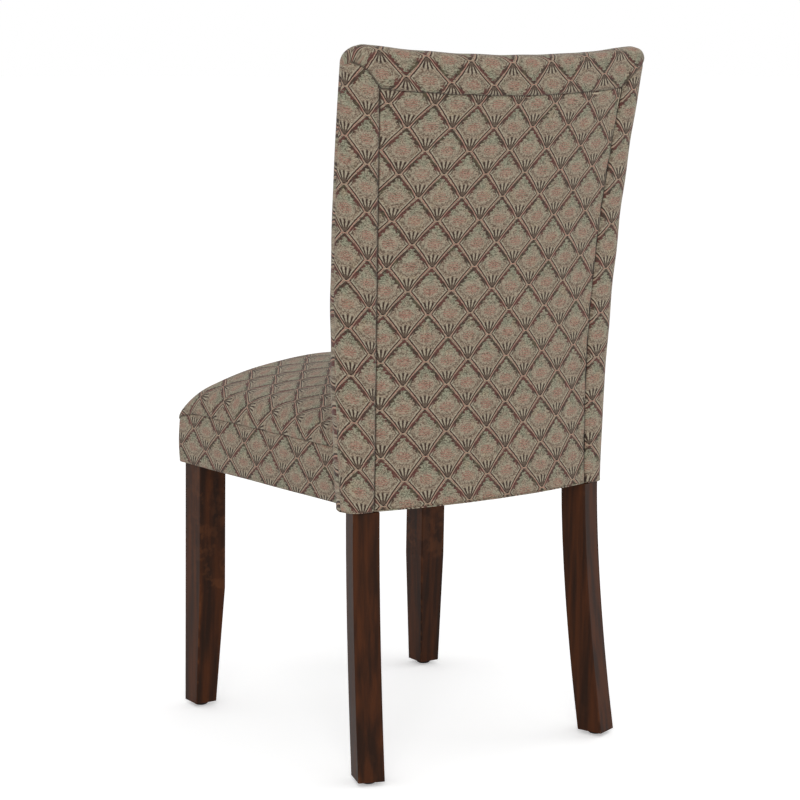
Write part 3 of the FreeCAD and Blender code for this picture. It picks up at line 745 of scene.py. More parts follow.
@dataclass(frozen=True)
class TrellisCover:
    """The patterned cover: its laid cloth, its folds and seams with painted shade along them, and its soft
    sheen. Widths are in metres.
    """

    name: str
    laid: tuple[str, ...] = ("wrap",)
    fold_mark: str = ""
    seam_mark: str = ""
    # The crease colour is painted shade: a dark line drawn along the folds and seams, where their grooves lie
    # in shade.
    crease: Colour = encoded(52, 42, 34)
    fold_width: float = 0.0022
    fold_core: float = 0.0004
    painted_fold_shade: float = 0.62
    seam_width: float = 0.0032
    seam_core: float = 0.0010
    painted_seam_shade: float = 0.85
    thread_pitch: float = 0.0007
    thread_relief: float = 0.25
    relief: float = 0.0007
    roughness: float = 0.86
    specular: float = 0.28
    sheen: float = 0.12
    sheen_roughness: float = 0.5

    def turned_over(self, shop: Workshop, place: Wire, fold: Wire) -> Wire:
        """The cloth's place where a second laying takes over above a fold.

        Args:
            shop: The shared effects.
            place: The place in the first laying.
            fold: The distance past the fold, in metres.
        Returns:
            The first place below the fold and the second one above it.
        """
        tree = place.tree
        sharp = 0.0002
        node = tree.nodes.new("ShaderNodeMix")
        node.data_type = "VECTOR"
        tree.links.new(fold.rise(-sharp, sharp).output, node.inputs[0])
        tree.links.new(place.output, node.inputs[4])
        tree.links.new(shop.cloth_place(tree, self.laid[1]).output, node.inputs[5])
        return Wire(tree, node.outputs[1])

    def material(self, shop: Workshop) -> bpy.types.Material:
        """Makes the cover's material.

        Args:
            shop: The shared effects.
        Returns:
            A material whose second laid cloth takes over where the fold mark is above zero.
        """
        material, tree, shader = shop.start(self.name)
        place = shop.cloth_place(tree, self.laid[0])
        if self.fold_mark:
            fold = shop.mark(tree, self.fold_mark)
            place = self.turned_over(shop, place, fold)
        pattern = shop.trellis.place(tree, Cloth=place)
        colour = pattern["Color"]
        if self.fold_mark:
            # Painted shade: a dark line along the mitred fold, where its crease falls into shade.
            line = abs(fold).rise(self.fold_width, self.fold_core)
            colour = mixed(line * self.painted_fold_shade, colour, self.crease)
        if self.seam_mark:
            # Painted shade: a dark line along the panel's seam, where its groove lies in the border's shadow.
            line = shop.mark(tree, self.seam_mark).rise(self.seam_width, self.seam_core)
            colour = mixed(line * self.painted_seam_shade, colour, self.crease)
        tree.links.new(colour.output, shader.inputs["Base Color"])
        shader.inputs["Roughness"].default_value = self.roughness
        shader.inputs["Specular IOR Level"].default_value = self.specular
        shader.inputs["Sheen Weight"].default_value = self.sheen
        shader.inputs["Sheen Roughness"].default_value = self.sheen_roughness
        threads = shop.weave.place(tree, Cloth=place, Pitch=self.thread_pitch)["Height"]
        shop.bump(shader, pattern["Height"] + threads * self.thread_relief, self.relief)
        return material


@dataclass(frozen=True)
class StainedWood:
    """Dark stained wood under a satin lacquer, lighter where its edges are rubbed."""

    name: str = "stained_wood"
    dark: Colour = encoded(42, 22, 10)
    warm: Colour = encoded(76, 39, 16)
    rubbed: Colour = encoded(112, 66, 36)
    roughness: float = 0.34
    roughness_spread: float = 0.16
    specular: float = 0.14
    relief: float = 0.00012

    def material(self, shop: Workshop) -> bpy.types.Material:
        """Makes the wood's material from the grain and the edge wear.

        Args:
            shop: The shared effects.
        Returns:
            The material.
        """
        material, tree, shader = shop.start(self.name)
        place = shop.own_place(tree)
        grain = shop.grain.place(tree, Place=place)
        wear = shop.wear.place(tree, Place=place)["Wear"]
        grain_step, pore_step = (0.32, 0.7), (0.62, 0.75)
        pore_most, wear_most = 0.5, 0.35
        colour = mixed(grain["Grain"].rise(*grain_step), self.dark, self.warm)
        colour = mixed(grain["Pores"].rise(*pore_step) * pore_most, colour, self.dark)
        colour = mixed(wear * wear_most, colour, self.rubbed)
        tree.links.new(colour.output, shader.inputs["Base Color"])
        rough = grain["Grain"] * self.roughness_spread + self.roughness
        tree.links.new(rough.output, shader.inputs["Roughness"])
        shader.inputs["Specular IOR Level"].default_value = self.specular
        pore_share = 0.6
        height = grain["Pores"] * pore_share + grain["Grain"] * (1.0 - pore_share)
        shop.bump(shader, height, self.relief)
        return material


class Texture(Enum):
    """What breaks up a plain finish."""

    GRAIN = "grain"
    WEAVE = "weave"
    SPECKLE = "speckle"


@dataclass(frozen=True)
class PlainFinish:
    """A finish of two close colours, broken up by one texture."""

    slot: str
    base: Colour
    deep: Colour
    rough: float
    texture: Texture = Texture.SPECKLE
    metal: float = 0.0
    fineness: float = 300.0
    relief: float = 0.0001
    pitch: float = 0.0012

    def material(self, shop: Workshop) -> bpy.types.Material:
        """Makes the finish's material: its texture mixes its two colours and gives its relief.

        Args:
            shop: The shared effects.
        Returns:
            The material.
        """
        material, tree, shader = shop.start(self.slot)
        place = shop.own_place(tree)
        cloudy = noise(place, scale=self.fineness, detail=3.0)
        if self.texture is Texture.GRAIN:
            height = shop.grain.place(tree, Place=place)["Grain"]
        elif self.texture is Texture.WEAVE:
            height = shop.weave.place(tree, Cloth=place, Pitch=self.pitch)["Height"]
        else:
            height = cloudy
        texture_share, mix_step = 0.6, (0.3, 0.75)
        blend = height * texture_share + cloudy * (1.0 - texture_share)
        colour = mixed(blend.rise(*mix_step), self.deep, self.base)
        tree.links.new(colour.output, shader.inputs["Base Color"])
        spread = 0.2
        rough = cloudy * spread + (self.rough - spread / 2.0)
        tree.links.new(rough.output, shader.inputs["Roughness"])
        shader.inputs["Metallic"].default_value = self.metal
        shop.bump(shader, height, self.relief)
        return material


PLAIN_FINISHES = (
    PlainFinish("frame_hardwood", encoded(206, 174, 132), encoded(170, 134, 94), 0.62, Texture.GRAIN),
    PlainFinish("dowel_beech", encoded(222, 194, 152), encoded(196, 160, 116), 0.6, Texture.GRAIN),
    PlainFinish("fibre_board", encoded(140, 108, 80), encoded(110, 80, 56), 0.8, fineness=900.0),
    PlainFinish("tack_strip", encoded(196, 182, 158), encoded(160, 146, 124), 0.85, fineness=700.0),
    PlainFinish("zinc_steel", encoded(196, 196, 200), encoded(150, 150, 154), 0.35, metal=1.0),
    PlainFinish("insert_brass", encoded(214, 180, 110), encoded(160, 126, 66), 0.35, metal=1.0),
    PlainFinish("glide_plastic", encoded(46, 42, 40), encoded(30, 27, 25), 0.5),
    PlainFinish("webbing", encoded(84, 80, 76), encoded(38, 36, 34), 0.85, Texture.WEAVE, relief=0.0004),
    PlainFinish("platform_cloth", encoded(200, 196, 186), encoded(168, 164, 152), 0.9, Texture.WEAVE),
    PlainFinish("foam", encoded(236, 226, 196), encoded(206, 192, 156), 0.92, relief=0.0008),
    PlainFinish(
        "wadding", encoded(244, 243, 240), encoded(216, 215, 210), 0.95, relief=0.0015, fineness=120.0
    ),
    PlainFinish("dust_cloth", encoded(44, 43, 43), encoded(24, 24, 24), 0.9, Texture.WEAVE, pitch=0.0008),
)


# Forms


@dataclass
class BackForm:
    """The back's slab: curved in plan and profile, wider upwards, with a dipped top and rolled edges."""

    height: float = 0.965
    underside: float = 0.361
    half_low: float = 0.2195
    half_high: float = 0.2465
    high_level: float = 0.930
    plan_radius: float = 0.900
    rear_y: float = 0.4371
    profile_level: float = 0.480
    profile_bend: float = 0.195
    deep_low: float = 0.0625
    deep_high: float = 0.0500
    top_dip: float = 0.012
    top_corner: float = 0.026
    rear_corner: float = 0.018
    front_corner: float = 0.060
    puff: float = 0.004
    rear_roll: float = 0.009
    front_roll: float = 0.018
    panel_half: float = 0.1793
    panel_level: float = 0.470
    panel_bend: float = 0.119
    panel_top: float = 0.911
    panel_dip: float = 0.009

    def half_width(self, z: np.ndarray) -> np.ndarray:
        """Half the width: a straight line in z between two levels."""
        share = (z - self.underside) / (self.high_level - self.underside)
        return self.half_low + (self.half_high - self.half_low) * share

    def rear_centre(self, z: np.ndarray) -> np.ndarray:
        """The outside at the middle: y = rear + bend (z - level)^2, from the origin."""
        return self.rear_y - FRONT_TO_ORIGIN + self.profile_bend * (z - self.profile_level) ** 2

    def plan_fall(self, x: np.ndarray) -> np.ndarray:
        """How far the plan's arc comes forward: R - sqrt(R^2 - x^2)."""
        return self.plan_radius - np.sqrt(self.plan_radius**2 - x**2)

    def thickness(self, z: np.ndarray) -> np.ndarray:
        """The slab's thickness, which shrinks evenly above the seat."""
        share = np.maximum(0.0, (z - self.profile_level) / (self.high_level - self.profile_level))
        return self.deep_low + (self.deep_high - self.deep_low) * share

    def reference_width(self) -> float:
        """Half the width at the level that reaches are measured at."""
        return float(self.half_width(np.float64(self.profile_level)))

    def seam_x(self, z: np.ndarray) -> np.ndarray:
        """The panel's side seam: half + bend (z - level)^2, straight above the panel."""
        level = np.minimum(z, self.panel_top)
        return self.panel_half + self.panel_bend * (level - self.panel_level) ** 2

    def top_edge(self, share: np.ndarray, reach: np.ndarray) -> np.ndarray:
        """The top edge's height: its dip is a parabola between the corners, which are quarter ellipses.

        Args:
            share: The share of the half width at each place.
            reach: Its reach from the side.
        Returns:
            The height there.
        """
        widest = self.half_width(self.height)
        spread = np.abs(share) * widest / (widest - self.top_corner)
        dip = self.top_dip * (1.0 - np.minimum(1.0, spread) ** 2)
        return self.height - dip - self.quarter(reach, self.top_corner, self.top_corner)

    @staticmethod
    def quarter(reach: np.ndarray, across: float, deep: np.ndarray | float) -> np.ndarray:
        """The fall of a quarter of an ellipse: deep (1 - sqrt(1 - (1 - reach/across)^2))."""
        share = np.clip(reach / across, 0.0, 1.0)
        return deep * (1.0 - np.sqrt(1.0 - (1.0 - share) ** 2))

    def border_puff(self, reach: np.ndarray, seam: np.ndarray) -> np.ndarray:
        """The border's rise: full at the rear corner and nothing at the seam, as a soft step."""
        share = np.clip((seam - reach) / (seam - self.rear_corner), 0.0, 1.0)
        return self.puff * share * share * (3.0 - 2.0 * share)

    def rear(self, x: np.ndarray, reach: np.ndarray, seam: np.ndarray, z: np.ndarray) -> np.ndarray:
        """The outside's y, with the rolled corner and the puffed border.

        Args:
            x: The place across.
            reach: Its reach from the side.
            seam: The seam's reach from the side.
            z: Its height.
        Returns:
            The y there.
        """
        fall = self.plan_fall(x) + self.quarter(reach, self.rear_corner, self.rear_corner)
        return self.rear_centre(z) - fall + self.border_puff(reach, seam)

    def front(self, x: np.ndarray, reach: np.ndarray, z: np.ndarray) -> np.ndarray:
        """The front's y, with its broad rolled corner.

        Args:
            x: The place across.
            reach: Its reach from the side.
            z: Its height.
        Returns:
            The y there.
        """
        thickness = self.thickness(z)
        rise = self.quarter(reach, self.front_corner, thickness + self.puff - self.rear_corner)
        return self.rear_centre(z) - self.plan_fall(x) - thickness + rise

    def front_at(self, x: np.ndarray, z: np.ndarray) -> np.ndarray:
        """The front's y over plain x and z."""
        share = np.clip(np.abs(x) / self.half_width(z), 0.0, 1.0)
        return self.front(x, self.reference_width() * (1.0 - share), z)


@dataclass
class SeatForm:
    """The seat: narrower to the rear, with a crown, soft shoulders and a rolled front edge."""

    leg_outer: float = 0.2201
    padding: float = 0.009
    narrowing: float = 0.0847
    depth: float = 0.3752
    crown: float = 0.511
    shoulder: float = 0.477
    shoulder_reach: float = 0.030
    bulge_across: float = 0.23
    bulge_up: float = 0.6
    side: float = 0.438
    front_edge: float = 0.424
    front_padding: float = 0.011
    front_roll: float = 0.062
    fullness: float = 2.2
    softness: float = 0.79
    edge_step: float = 0.002
    front_corner: float = 0.016
    rear_drop: float = 0.008
    underside: float = 0.3628

    def growth(self, reach: np.ndarray) -> np.ndarray:
        """The share of the crown's height behind the front edge: (1 - (1 - d/roll)^fullness)^softness."""
        share = np.maximum(0.0, 1.0 - reach / self.front_roll)
        return (1.0 - share**self.fullness) ** self.softness

    def half_width(self, reach: np.ndarray) -> np.ndarray:
        """Half the width, with the rounded front corner.

        Args:
            reach: The distance behind the front.
        Returns:
            Half the width there.
        """
        y = reach - self.front_padding
        corner = BackForm.quarter(reach, self.front_corner, self.front_corner)
        return self.leg_outer + self.padding - self.narrowing * y - corner

    def levels(self, reach: np.ndarray) -> tuple[np.ndarray, np.ndarray, np.ndarray]:
        """The heights of a section, which grow from the front edge; the rear half drops as a square.

        Args:
            reach: The distance behind the front.
        Returns:
            The heights of the side's top, the shoulder and the crown there.
        """
        growth = self.growth(reach)
        y = reach - self.front_padding
        rear_share = np.maximum(0.0, (y - self.depth / 2.0) / (self.depth / 2.0))
        drop = self.rear_drop * rear_share**2
        edge = self.front_edge
        side = edge - 2 * self.edge_step + (self.side - edge + 2 * self.edge_step) * growth
        shoulder = edge - self.edge_step + (self.shoulder - edge + self.edge_step) * growth - drop
        return side, shoulder, edge + (self.crown - edge) * growth - drop


def arc_through(start: np.ndarray, middle: np.ndarray, end: np.ndarray, share: np.ndarray) -> np.ndarray:
    """Points on a smooth curve through three: the parabola with a middle control at 2m - (s + e)/2.

    Args:
        start: The first point, s.
        middle: The middle point, m.
        end: The last point, e.
        share: How far along the curve each point is, from 0 to 1.
    Returns:
        The points.
    """
    control = 2.0 * middle - (start + end) / 2.0
    t = share[..., None]
    return (1 - t) ** 2 * start + 2 * t * (1 - t) * control + t * t * end


def run_length(points: np.ndarray, axis: int) -> np.ndarray:
    """The length along a grid's lines.

    Args:
        points: The grid.
        axis: The direction of the lines: 0 for columns, 1 for rows.
    Returns:
        The length from each line's first point.
    """
    lengths = np.linalg.norm(np.diff(points, axis=axis), axis=-1)
    start = np.zeros_like(np.take(lengths, [0], axis=axis))
    return np.concatenate([start, np.cumsum(lengths, axis=axis)], axis=axis)


@dataclass(frozen=True)
class Lay:
    """How a cloth was laid and pulled: its pattern's place from the distances u and v, in metres.

    across = start + gain u + lean v + bow v^2 + sag u^2 and along = start + gain v + lean u + bow v^2 +
    sag u^2, each with its own values.
    """

    across_start: float = 0.0
    along_start: float = 0.0
    across_gain: float = 1.0
    across_lean: float = 0.0
    across_bow: float = 0.0
    across_sag: float = 0.0
    along_gain: float = 1.0
    along_lean: float = 0.0
    along_bow: float = 0.0
    along_sag: float = 0.0

    def coordinates(self, u: np.ndarray, v: np.ndarray) -> np.ndarray:
        """The cloth's coordinates on the surface.

        Args:
            u: The distance across.
            v: The distance up.
        Returns:
            The coordinates across and along the cloth.
        """
        across = self.across_start + self.across_gain * u + self.across_lean * v
        across = across + self.across_bow * v * v + self.across_sag * u * u
        along = self.along_start + self.along_gain * v + self.along_lean * u
        along = along + self.along_bow * v * v + self.along_sag * u * u
        return np.stack([across, along], axis=-1)


def ripples(u: np.ndarray, v: np.ndarray, seed: int, height: float) -> np.ndarray:
    """The unevenness of a hand-pulled cover: the mean of slow sine waves that a seed turns.

    Args:
        u: The distance across.
        v: The distance up.
        seed: What the waves' directions, starts and lengths are drawn from.
        height: The waves' height.
    Returns:
        The rise at each point.
    """
    waves = 6
    shortest, longest = 0.05, 0.16
    generator = np.random.default_rng(seed)
    total = np.zeros_like(u)
    for _ in range(waves):
        angle, phase = generator.uniform(0, 2 * math.pi, 2)
        length = generator.uniform(shortest, longest)
        total += np.sin((u * math.cos(angle) + v * math.sin(angle)) * 2 * math.pi / length + phase)
    return total * height / waves


def even_shares(count: int) -> np.ndarray:
    """Even shares above 0 and up to 1, as a column."""
    return np.linspace(0.0, 1.0, count + 1)[1:, None]


def bell(distance: np.ndarray, width: float) -> np.ndarray:
    """A bell that is 1 at no distance and falls as exp(-(d/width)^2)."""
    return np.exp(-((distance / width) ** 2))


def grid_normals(points: np.ndarray) -> np.ndarray:
    """The unit normals of a grid: the cross product of its direction across and its direction down.

    Args:
        points: The grid.
    Returns:
        A normal at each point.
    """
    normal = np.cross(np.gradient(points, axis=1), np.gradient(points, axis=0))
    length = np.linalg.norm(normal, axis=-1, keepdims=True)
    return normal / np.maximum(length, 1e-12)


# Sub-assemblies


def put_cover(patch: Patch, finish: bpy.types.Material, nodes: tuple[str, ...]) -> None:
    """Makes a cover from its patch, gives it its finish and thickness, and puts it on the frame.

    Args:
        patch: The patch.
        finish: Its material.
        nodes: The nodes that it replaces.
    """
    piece = patch.build()
    piece.data.materials.append(finish)
    thicken(piece)
    seat_on_frame(piece, nodes)
    declare_cloth(patch)


@dataclass
class BackUnit:
    """The upholstered back: the wrapped cover with its rear borders, and the panel that closes it."""

    form: BackForm = field(default_factory=BackForm)
    border_columns: int = 26
    field_columns: int = 112
    face_rows: int = 140
    top_face_rows: int = 12
    rear_roll_rows: int = 6
    top_flat_rows: int = 5
    front_roll_rows: int = 8
    roll_share: float = 0.45
    top_bow: float = 0.0015
    lip: float = 0.0024
    lip_columns: float = 0.7
    swell: float = 0.0012
    swell_column: float = 3.5
    swell_columns: float = 3.0
    unevenness: float = 0.0012
    mitre_rise: float = 0.014
    mitre_slope: float = 0.7
    mitre_clear: float = 0.004
    groove_width: float = 0.0016
    groove_depth: float = 0.0016
    over_gain: float = 1.012
    hidden_level: float = 0.45
    hidden_half: float = 0.185
    turn_level: float = 0.62
    top_pull: tuple[float, float] = (0.22, 0.60)
    side_pull: tuple[float, float] = (0.10, 0.25)
    seam_overlap: float = 0.0040
    fold_fade: float = 0.0012
    panel_recess: float = 0.0018
    panel_columns: int = 140
    panel_rows: int = 180
    panel_crowding: float = 0.9
    turn_in: float = 0.0015
    side_turn: float = 0.0022
    top_turn: float = 0.003
    underside_rows: int = 12
    underside_sag: float = 0.0015
    front_lay: Lay = Lay(across_start=-0.0196, along_start=-0.0013)
    left_lay: Lay = Lay(
        across_start=-0.04545,
        across_gain=1.0718,
        across_lean=0.0463,
        along_start=-0.04435,
        along_gain=0.9772,
        along_lean=0.1708,
    )
    right_lay: Lay = Lay(
        across_start=-0.04589,
        across_gain=0.9146,
        across_lean=-0.0243,
        along_start=-0.00048,
        along_gain=0.9734,
        along_lean=-0.0293,
    )
    top_lay: Lay = Lay(
        across_start=-0.18074,
        across_gain=0.9739,
        across_lean=0.2588,
        along_start=0.00986,
        along_gain=1.0152,
        along_lean=-0.0152,
    )
    panel_lay: Lay = Lay(
        across_start=0.02242,
        across_gain=0.9995,
        across_lean=-0.0257,
        across_bow=0.155,
        across_sag=-0.080,
        along_start=0.04883,
        along_gain=0.9527,
        along_lean=0.0096,
        along_bow=0.064,
        along_sag=-0.126,
    )

    def panel_crest(self, x: np.ndarray) -> np.ndarray:
        """The panel's top edge: lower by the dip at its middle, as a parabola."""
        corner = float(self.form.seam_x(np.float64(self.form.panel_top)))
        return self.form.panel_top - self.form.panel_dip * (1.0 - np.minimum(1.0, (x / corner) ** 2))

    def columns(self, seam_share: np.ndarray) -> tuple[np.ndarray, np.ndarray, np.ndarray]:
        """Where the cover's columns run: borders that follow the panel's seam, and a field between them.

        A border's columns stand at 1 - cos of even angles, so that they crowd at the rolled side.

        Args:
            seam_share: The seam's share of the half width at each column.
        Returns:
            Each column's share of the half width from +1 to -1, its reach from the side and the seam's.
        """
        crowding = 0.999
        reference = self.form.reference_width()
        even = np.linspace(0.0, 1.0, self.border_columns + 1)
        edge = (1.0 - np.cos(even * math.pi / 2.0)) * crowding + (1.0 - crowding) * even
        inner = np.linspace(1.0, -1.0, self.field_columns + 1)[1:-1]
        border = len(edge)
        sign = np.concatenate([np.ones(border), np.sign(inner), -np.ones(border)])
        seam = reference * (1.0 - seam_share)
        left = edge * seam[..., :border]
        right = edge[::-1] * seam[..., -border:]
        middle = reference * (1.0 - np.abs(inner) * seam_share[..., border:-border])
        reach = np.concatenate([left, middle, right], axis=-1)
        return sign * (1.0 - reach / reference), reach, seam

    def cover_points(self) -> np.ndarray:
        """The wrapped cover's form on a grid.

        Columns fan out from side to side. Rows run up the rear face, over the rolled top edge as a
        quarter circle, a slightly bowed flat and a wider quarter circle, and down the front face.

        Returns:
            The points, by row and column.
        """
        form = self.form
        count = 2 * (self.border_columns + 1) + self.field_columns - 1
        seam_top = np.full(count, form.seam_x(np.float64(form.panel_top)) / form.half_width(form.panel_top))
        share, reach, seam = self.columns(seam_top)
        top = form.top_edge(share, reach)
        x = share * form.half_width(top)
        room = form.rear(x, reach, seam, top) - form.front(x, reach, top)
        rear_roll = np.minimum(form.rear_roll, room * self.roll_share)
        front_roll = np.minimum(form.front_roll, room * self.roll_share)

        least_border = 0.001
        crest = self.panel_crest(x) * np.ones_like(top)
        crest = np.minimum(crest, top - rear_roll - least_border)
        below = np.linspace(0.0, 1.0, self.face_rows + 1)[:, None]
        lower_levels = form.underside + below * (crest - form.underside)
        upper_levels = crest + even_shares(self.top_face_rows) * (top - rear_roll - crest)
        z = np.concatenate([lower_levels, upper_levels])
        seam_share = form.seam_x(z) / form.half_width(np.minimum(z, form.panel_top))
        face_share, face_reach, face_seam = self.columns(seam_share)
        x = face_share * form.half_width(z)
        rear = np.stack([x, form.rear(x, face_reach, face_seam, z), z], axis=-1)

        def at_shares(y: np.ndarray, z: np.ndarray) -> np.ndarray:
            """Rows of points whose columns keep the top edge's shares of the half width."""
            return np.stack([share * form.half_width(z), y, z], axis=-1)

        turn = even_shares(self.rear_roll_rows) * math.pi / 2.0
        roll_y = rear[-1, :, 1] - rear_roll * (1.0 - np.cos(turn))
        roll = at_shares(roll_y, rear[-1, :, 2] + rear_roll * np.sin(turn))
        front_top = top - front_roll
        lip_y = form.front(share * form.half_width(front_top), reach, front_top) + front_roll
        flat_share = even_shares(self.top_flat_rows)
        full_room = 0.03
        bow = self.top_bow * np.sin(flat_share * math.pi) * np.minimum(1.0, room / full_room)
        flat = at_shares(roll_y[-1] + flat_share * (lip_y - roll_y[-1]), top + bow)
        turn = even_shares(self.front_roll_rows) * math.pi / 2.0
        wide_roll = at_shares(lip_y - front_roll * np.sin(turn), top - front_roll * (1.0 - np.cos(turn)))
        z = front_top - even_shares(self.face_rows + self.top_face_rows) * (front_top - form.underside)
        front = at_shares(form.front(share * form.half_width(z), np.broadcast_to(reach, z.shape), z), z)
        return np.concatenate([rear, roll, flat, wide_roll, front], axis=0)

    def cover_patch(self) -> Patch:
        """The wrapped cover: its form with cloth coordinates, mitred folds, lips and unevenness.

        The mitre mark is the distance past the fold that runs from the panel's corner to the back's. The
        groove of the fold and the lip at the panel are bells that are taken from the surface.

        Returns:
            The patch, without the faces that the panel and the seat take.
        """
        form = self.form
        points = self.cover_points()
        count = points.shape[1]
        border = self.border_columns
        rear_rows = self.face_rows + self.top_face_rows + 1
        front_start = rear_rows + self.rear_roll_rows + self.top_flat_rows + self.front_roll_rows
        row = np.arange(points.shape[0])[:, None]
        column = np.arange(count)[None, :]
        rear = row < rear_rows

        around = run_length(points, 1)
        from_middle = around[:, count // 2 : count // 2 + 1] - around
        up = run_length(points, 0)
        front_v = up[-1:, :] - up
        front_edge = from_middle[front_start + self.face_rows // 2, [0, -1]]
        is_left = from_middle > 0
        side_gap = np.where(is_left, from_middle[:, :1] - from_middle, from_middle - from_middle[:, -1:])
        around_u = np.where(is_left, front_edge[0] + side_gap, front_edge[1] - side_gap)
        u = np.where(rear, around_u, from_middle)
        wrap = self.cover_cloth(u, np.where(rear, up, front_v))
        over = self.cover_cloth(points[..., 0] * self.over_gain, front_v, sides=False)

        crest = points[rear_rows - 1, :, 2]
        top_gap = np.where(rear, crest + self.mitre_rise - points[..., 2], 0.0)
        panel_depth = form.height - form.panel_top
        mitre = (side_gap / side_gap[:, border : border + 1] - top_gap / panel_depth) * panel_depth
        mitre = mitre * self.mitre_slope
        mitre = np.where(rear, mitre, np.maximum(mitre, self.mitre_clear))

        groove = np.where(rear, bell(mitre, self.groove_width), 0.0) * self.groove_depth
        beside = np.minimum(np.abs(column - border), np.abs(column - (count - 1 - border)))
        inner = (column >= border) & (column <= count - 1 - border)
        side_lip = np.where(rear & (row <= self.face_rows), bell(beside, self.lip_columns), 0.0)
        top_lip = np.where(rear & inner, bell(row - self.face_rows, self.lip_columns), 0.0)
        rolled = np.maximum(side_lip, top_lip) * self.lip
        swell = self.swell * bell(beside - self.swell_column, self.swell_columns)
        rise = ripples(u, np.where(rear, up, front_v), 5, self.unevenness)
        rise = rise + np.where(rear & ~inner, swell, 0.0) - np.maximum(groove, rolled)
        points = points + grid_normals(points) * rise[..., None]

        face = np.arange(count - 1)[None, :]
        opening = (row[:-1] < self.face_rows) & (face >= border) & (face < count - 1 - border)
        middle = (points[:-1, :-1] + points[1:, 1:]) / 2.0
        behind_seat = (middle[..., 2] < self.hidden_level) & (np.abs(middle[..., 0]) < self.hidden_half)
        keep = ~opening & ~((row[:-1] > front_start) & behind_seat)
        return Patch("back_cover", points, {"wrap": wrap, "over": over}, {"mitre": mitre}, keep)

    def cover_cloth(self, u: np.ndarray, v: np.ndarray, sides: bool = True) -> np.ndarray:
        """Where the pattern lies on the cover, pulled one way at each side and another over the top.

        Args:
            u: The distance across, from the middle of the front.
            v: The distance up the front, and on over the top.
            sides: Whether the sides' pull counts.
        Returns:
            The cloth's coordinates.
        """
        laid = self.front_lay.coordinates(u, v)
        turned = np.maximum(v, self.turn_level)
        over = self.top_lay.coordinates(u, turned)
        over[..., 1] += v - turned
        top_pull = smooth(v, *self.top_pull)[..., None]
        if not sides:
            return laid + (over - laid) * top_pull
        left_pull = smooth(u, *self.side_pull)[..., None]
        right_pull = smooth(-u, *self.side_pull)[..., None]
        pulled = laid + (over - laid) * top_pull * (1.0 - left_pull - right_pull)
        pulled = pulled + (self.left_lay.coordinates(u, v) - laid) * left_pull
        return pulled + (self.right_lay.coordinates(u, v) - laid) * right_pull

    def panel_patch(self) -> Patch:
        """The outside panel: the back's rear face set in a little, with its edges turned in.

        The distance v up the profile y = bend (z - level)^2 is its arc length, with the slope s as
        (asinh s + s sqrt(1 + s^2)) / (4 bend).

        Returns:
            The patch, marked with the distance from its seam.
        """
        form = self.form
        crowded = math.pi / 2.0 * self.panel_crowding
        across = np.sin(np.linspace(-1.0, 1.0, self.panel_columns + 1) * crowded) / math.sin(crowded)
        rise = np.linspace(0.0, 1.0, self.panel_rows + 1)[:, None]
        height = form.panel_top - form.underside
        z = np.repeat(form.underside + rise * height, len(across), axis=1)
        crest = self.panel_crest(across * (form.seam_x(z) + self.seam_overlap)) + self.seam_overlap
        z = form.underside + (z - form.underside) * (crest - form.underside) / height
        x = across * (form.seam_x(z) + self.seam_overlap)
        u = np.arcsin(x / form.plan_radius) * form.plan_radius
        slope = 2.0 * form.profile_bend * (z - form.profile_level)
        v = (np.arcsinh(slope) + slope * np.sqrt(1 + slope**2)) / (4.0 * form.profile_bend)
        side_gap = np.maximum(0.0, form.seam_x(z) - np.abs(x))
        top_gap = np.maximum(0.0, crest - self.seam_overlap - z)
        turned_in = (np.exp(-side_gap / self.side_turn) + np.exp(-top_gap / self.top_turn)) * self.turn_in
        unevenness = 0.0008
        y = form.rear_centre(z) - form.plan_fall(x) - self.panel_recess - turned_in
        y = y + self.puckers(x, z) + ripples(u, v, 9, unevenness)
        cloth = self.panel_lay.coordinates(u, v)
        seam = {"seam": np.minimum(side_gap, top_gap + self.fold_fade)}
        return Patch("outside_panel", np.stack([x, y, z], axis=-1), {"wrap": cloth}, seam, turned=True)

    def puckers(self, x: np.ndarray, z: np.ndarray) -> np.ndarray:
        """Small pulls beside the side seams and under the top fold: sine waves that fade into the panel.

        Args:
            x: Each point's place across.
            z: Its height.
        Returns:
            How far the panel stands out there.
        """
        side_height, side_reach, side_pitch, side_start = 0.0007, 0.012, 0.047, 1.3
        top_height, top_reach, top_pitch, top_start = 0.0009, 0.014, 0.062, 0.7
        side_wave = np.sin(z * 2 * math.pi / side_pitch + np.sign(x) * side_start) * side_height
        side_fade = np.exp(-(self.form.seam_x(z) - np.abs(x)) / side_reach)
        top_wave = np.sin(x * 2 * math.pi / top_pitch + top_start) * top_height
        top_fade = np.exp(-(self.panel_crest(x) - z) / top_reach)
        return side_wave * side_fade + top_wave * top_fade

    def underside_patch(self, cover: Patch) -> Patch:
        """The cloth turned in under the back: straight lines from the cover's rear foot to its front foot.

        Args:
            cover: The wrapped cover.
        Returns:
            The patch, a little bowed upwards.
        """
        rear = cover.points[0]
        front = cover.points[-1]
        share = np.linspace(0.0, 1.0, self.underside_rows + 1)[:, None, None]
        points = rear + share * (front - rear)
        points[..., 2] += self.underside_sag * np.sin(share[..., 0] * math.pi)
        return Patch("back_underside_cloth", points, {"wrap": points[..., :2]}, turned=True)

    def build(self, shop: Workshop) -> None:
        """Makes the cover, the cloth under it and the panel, and puts them on the frame.

        Args:
            shop: The shared effects.
        """
        cover = self.cover_patch()
        wrapped = TrellisCover("back_cover", ("wrap", "over"), fold_mark="mitre")
        seamed = TrellisCover("outside_panel", seam_mark="seam")
        for patch, finish, nodes, under in (
            (cover, wrapped, ("inside_back_cover",), "back_foam_pad_soft"),
            (self.underside_patch(cover), TrellisCover("back_underside"), (), "back_foam_pad_soft"),
            (self.panel_patch(), seamed, ("outside_back_panel",), "outside_back_board"),
        ):
            put_cover(patch, finish.material(shop), nodes)


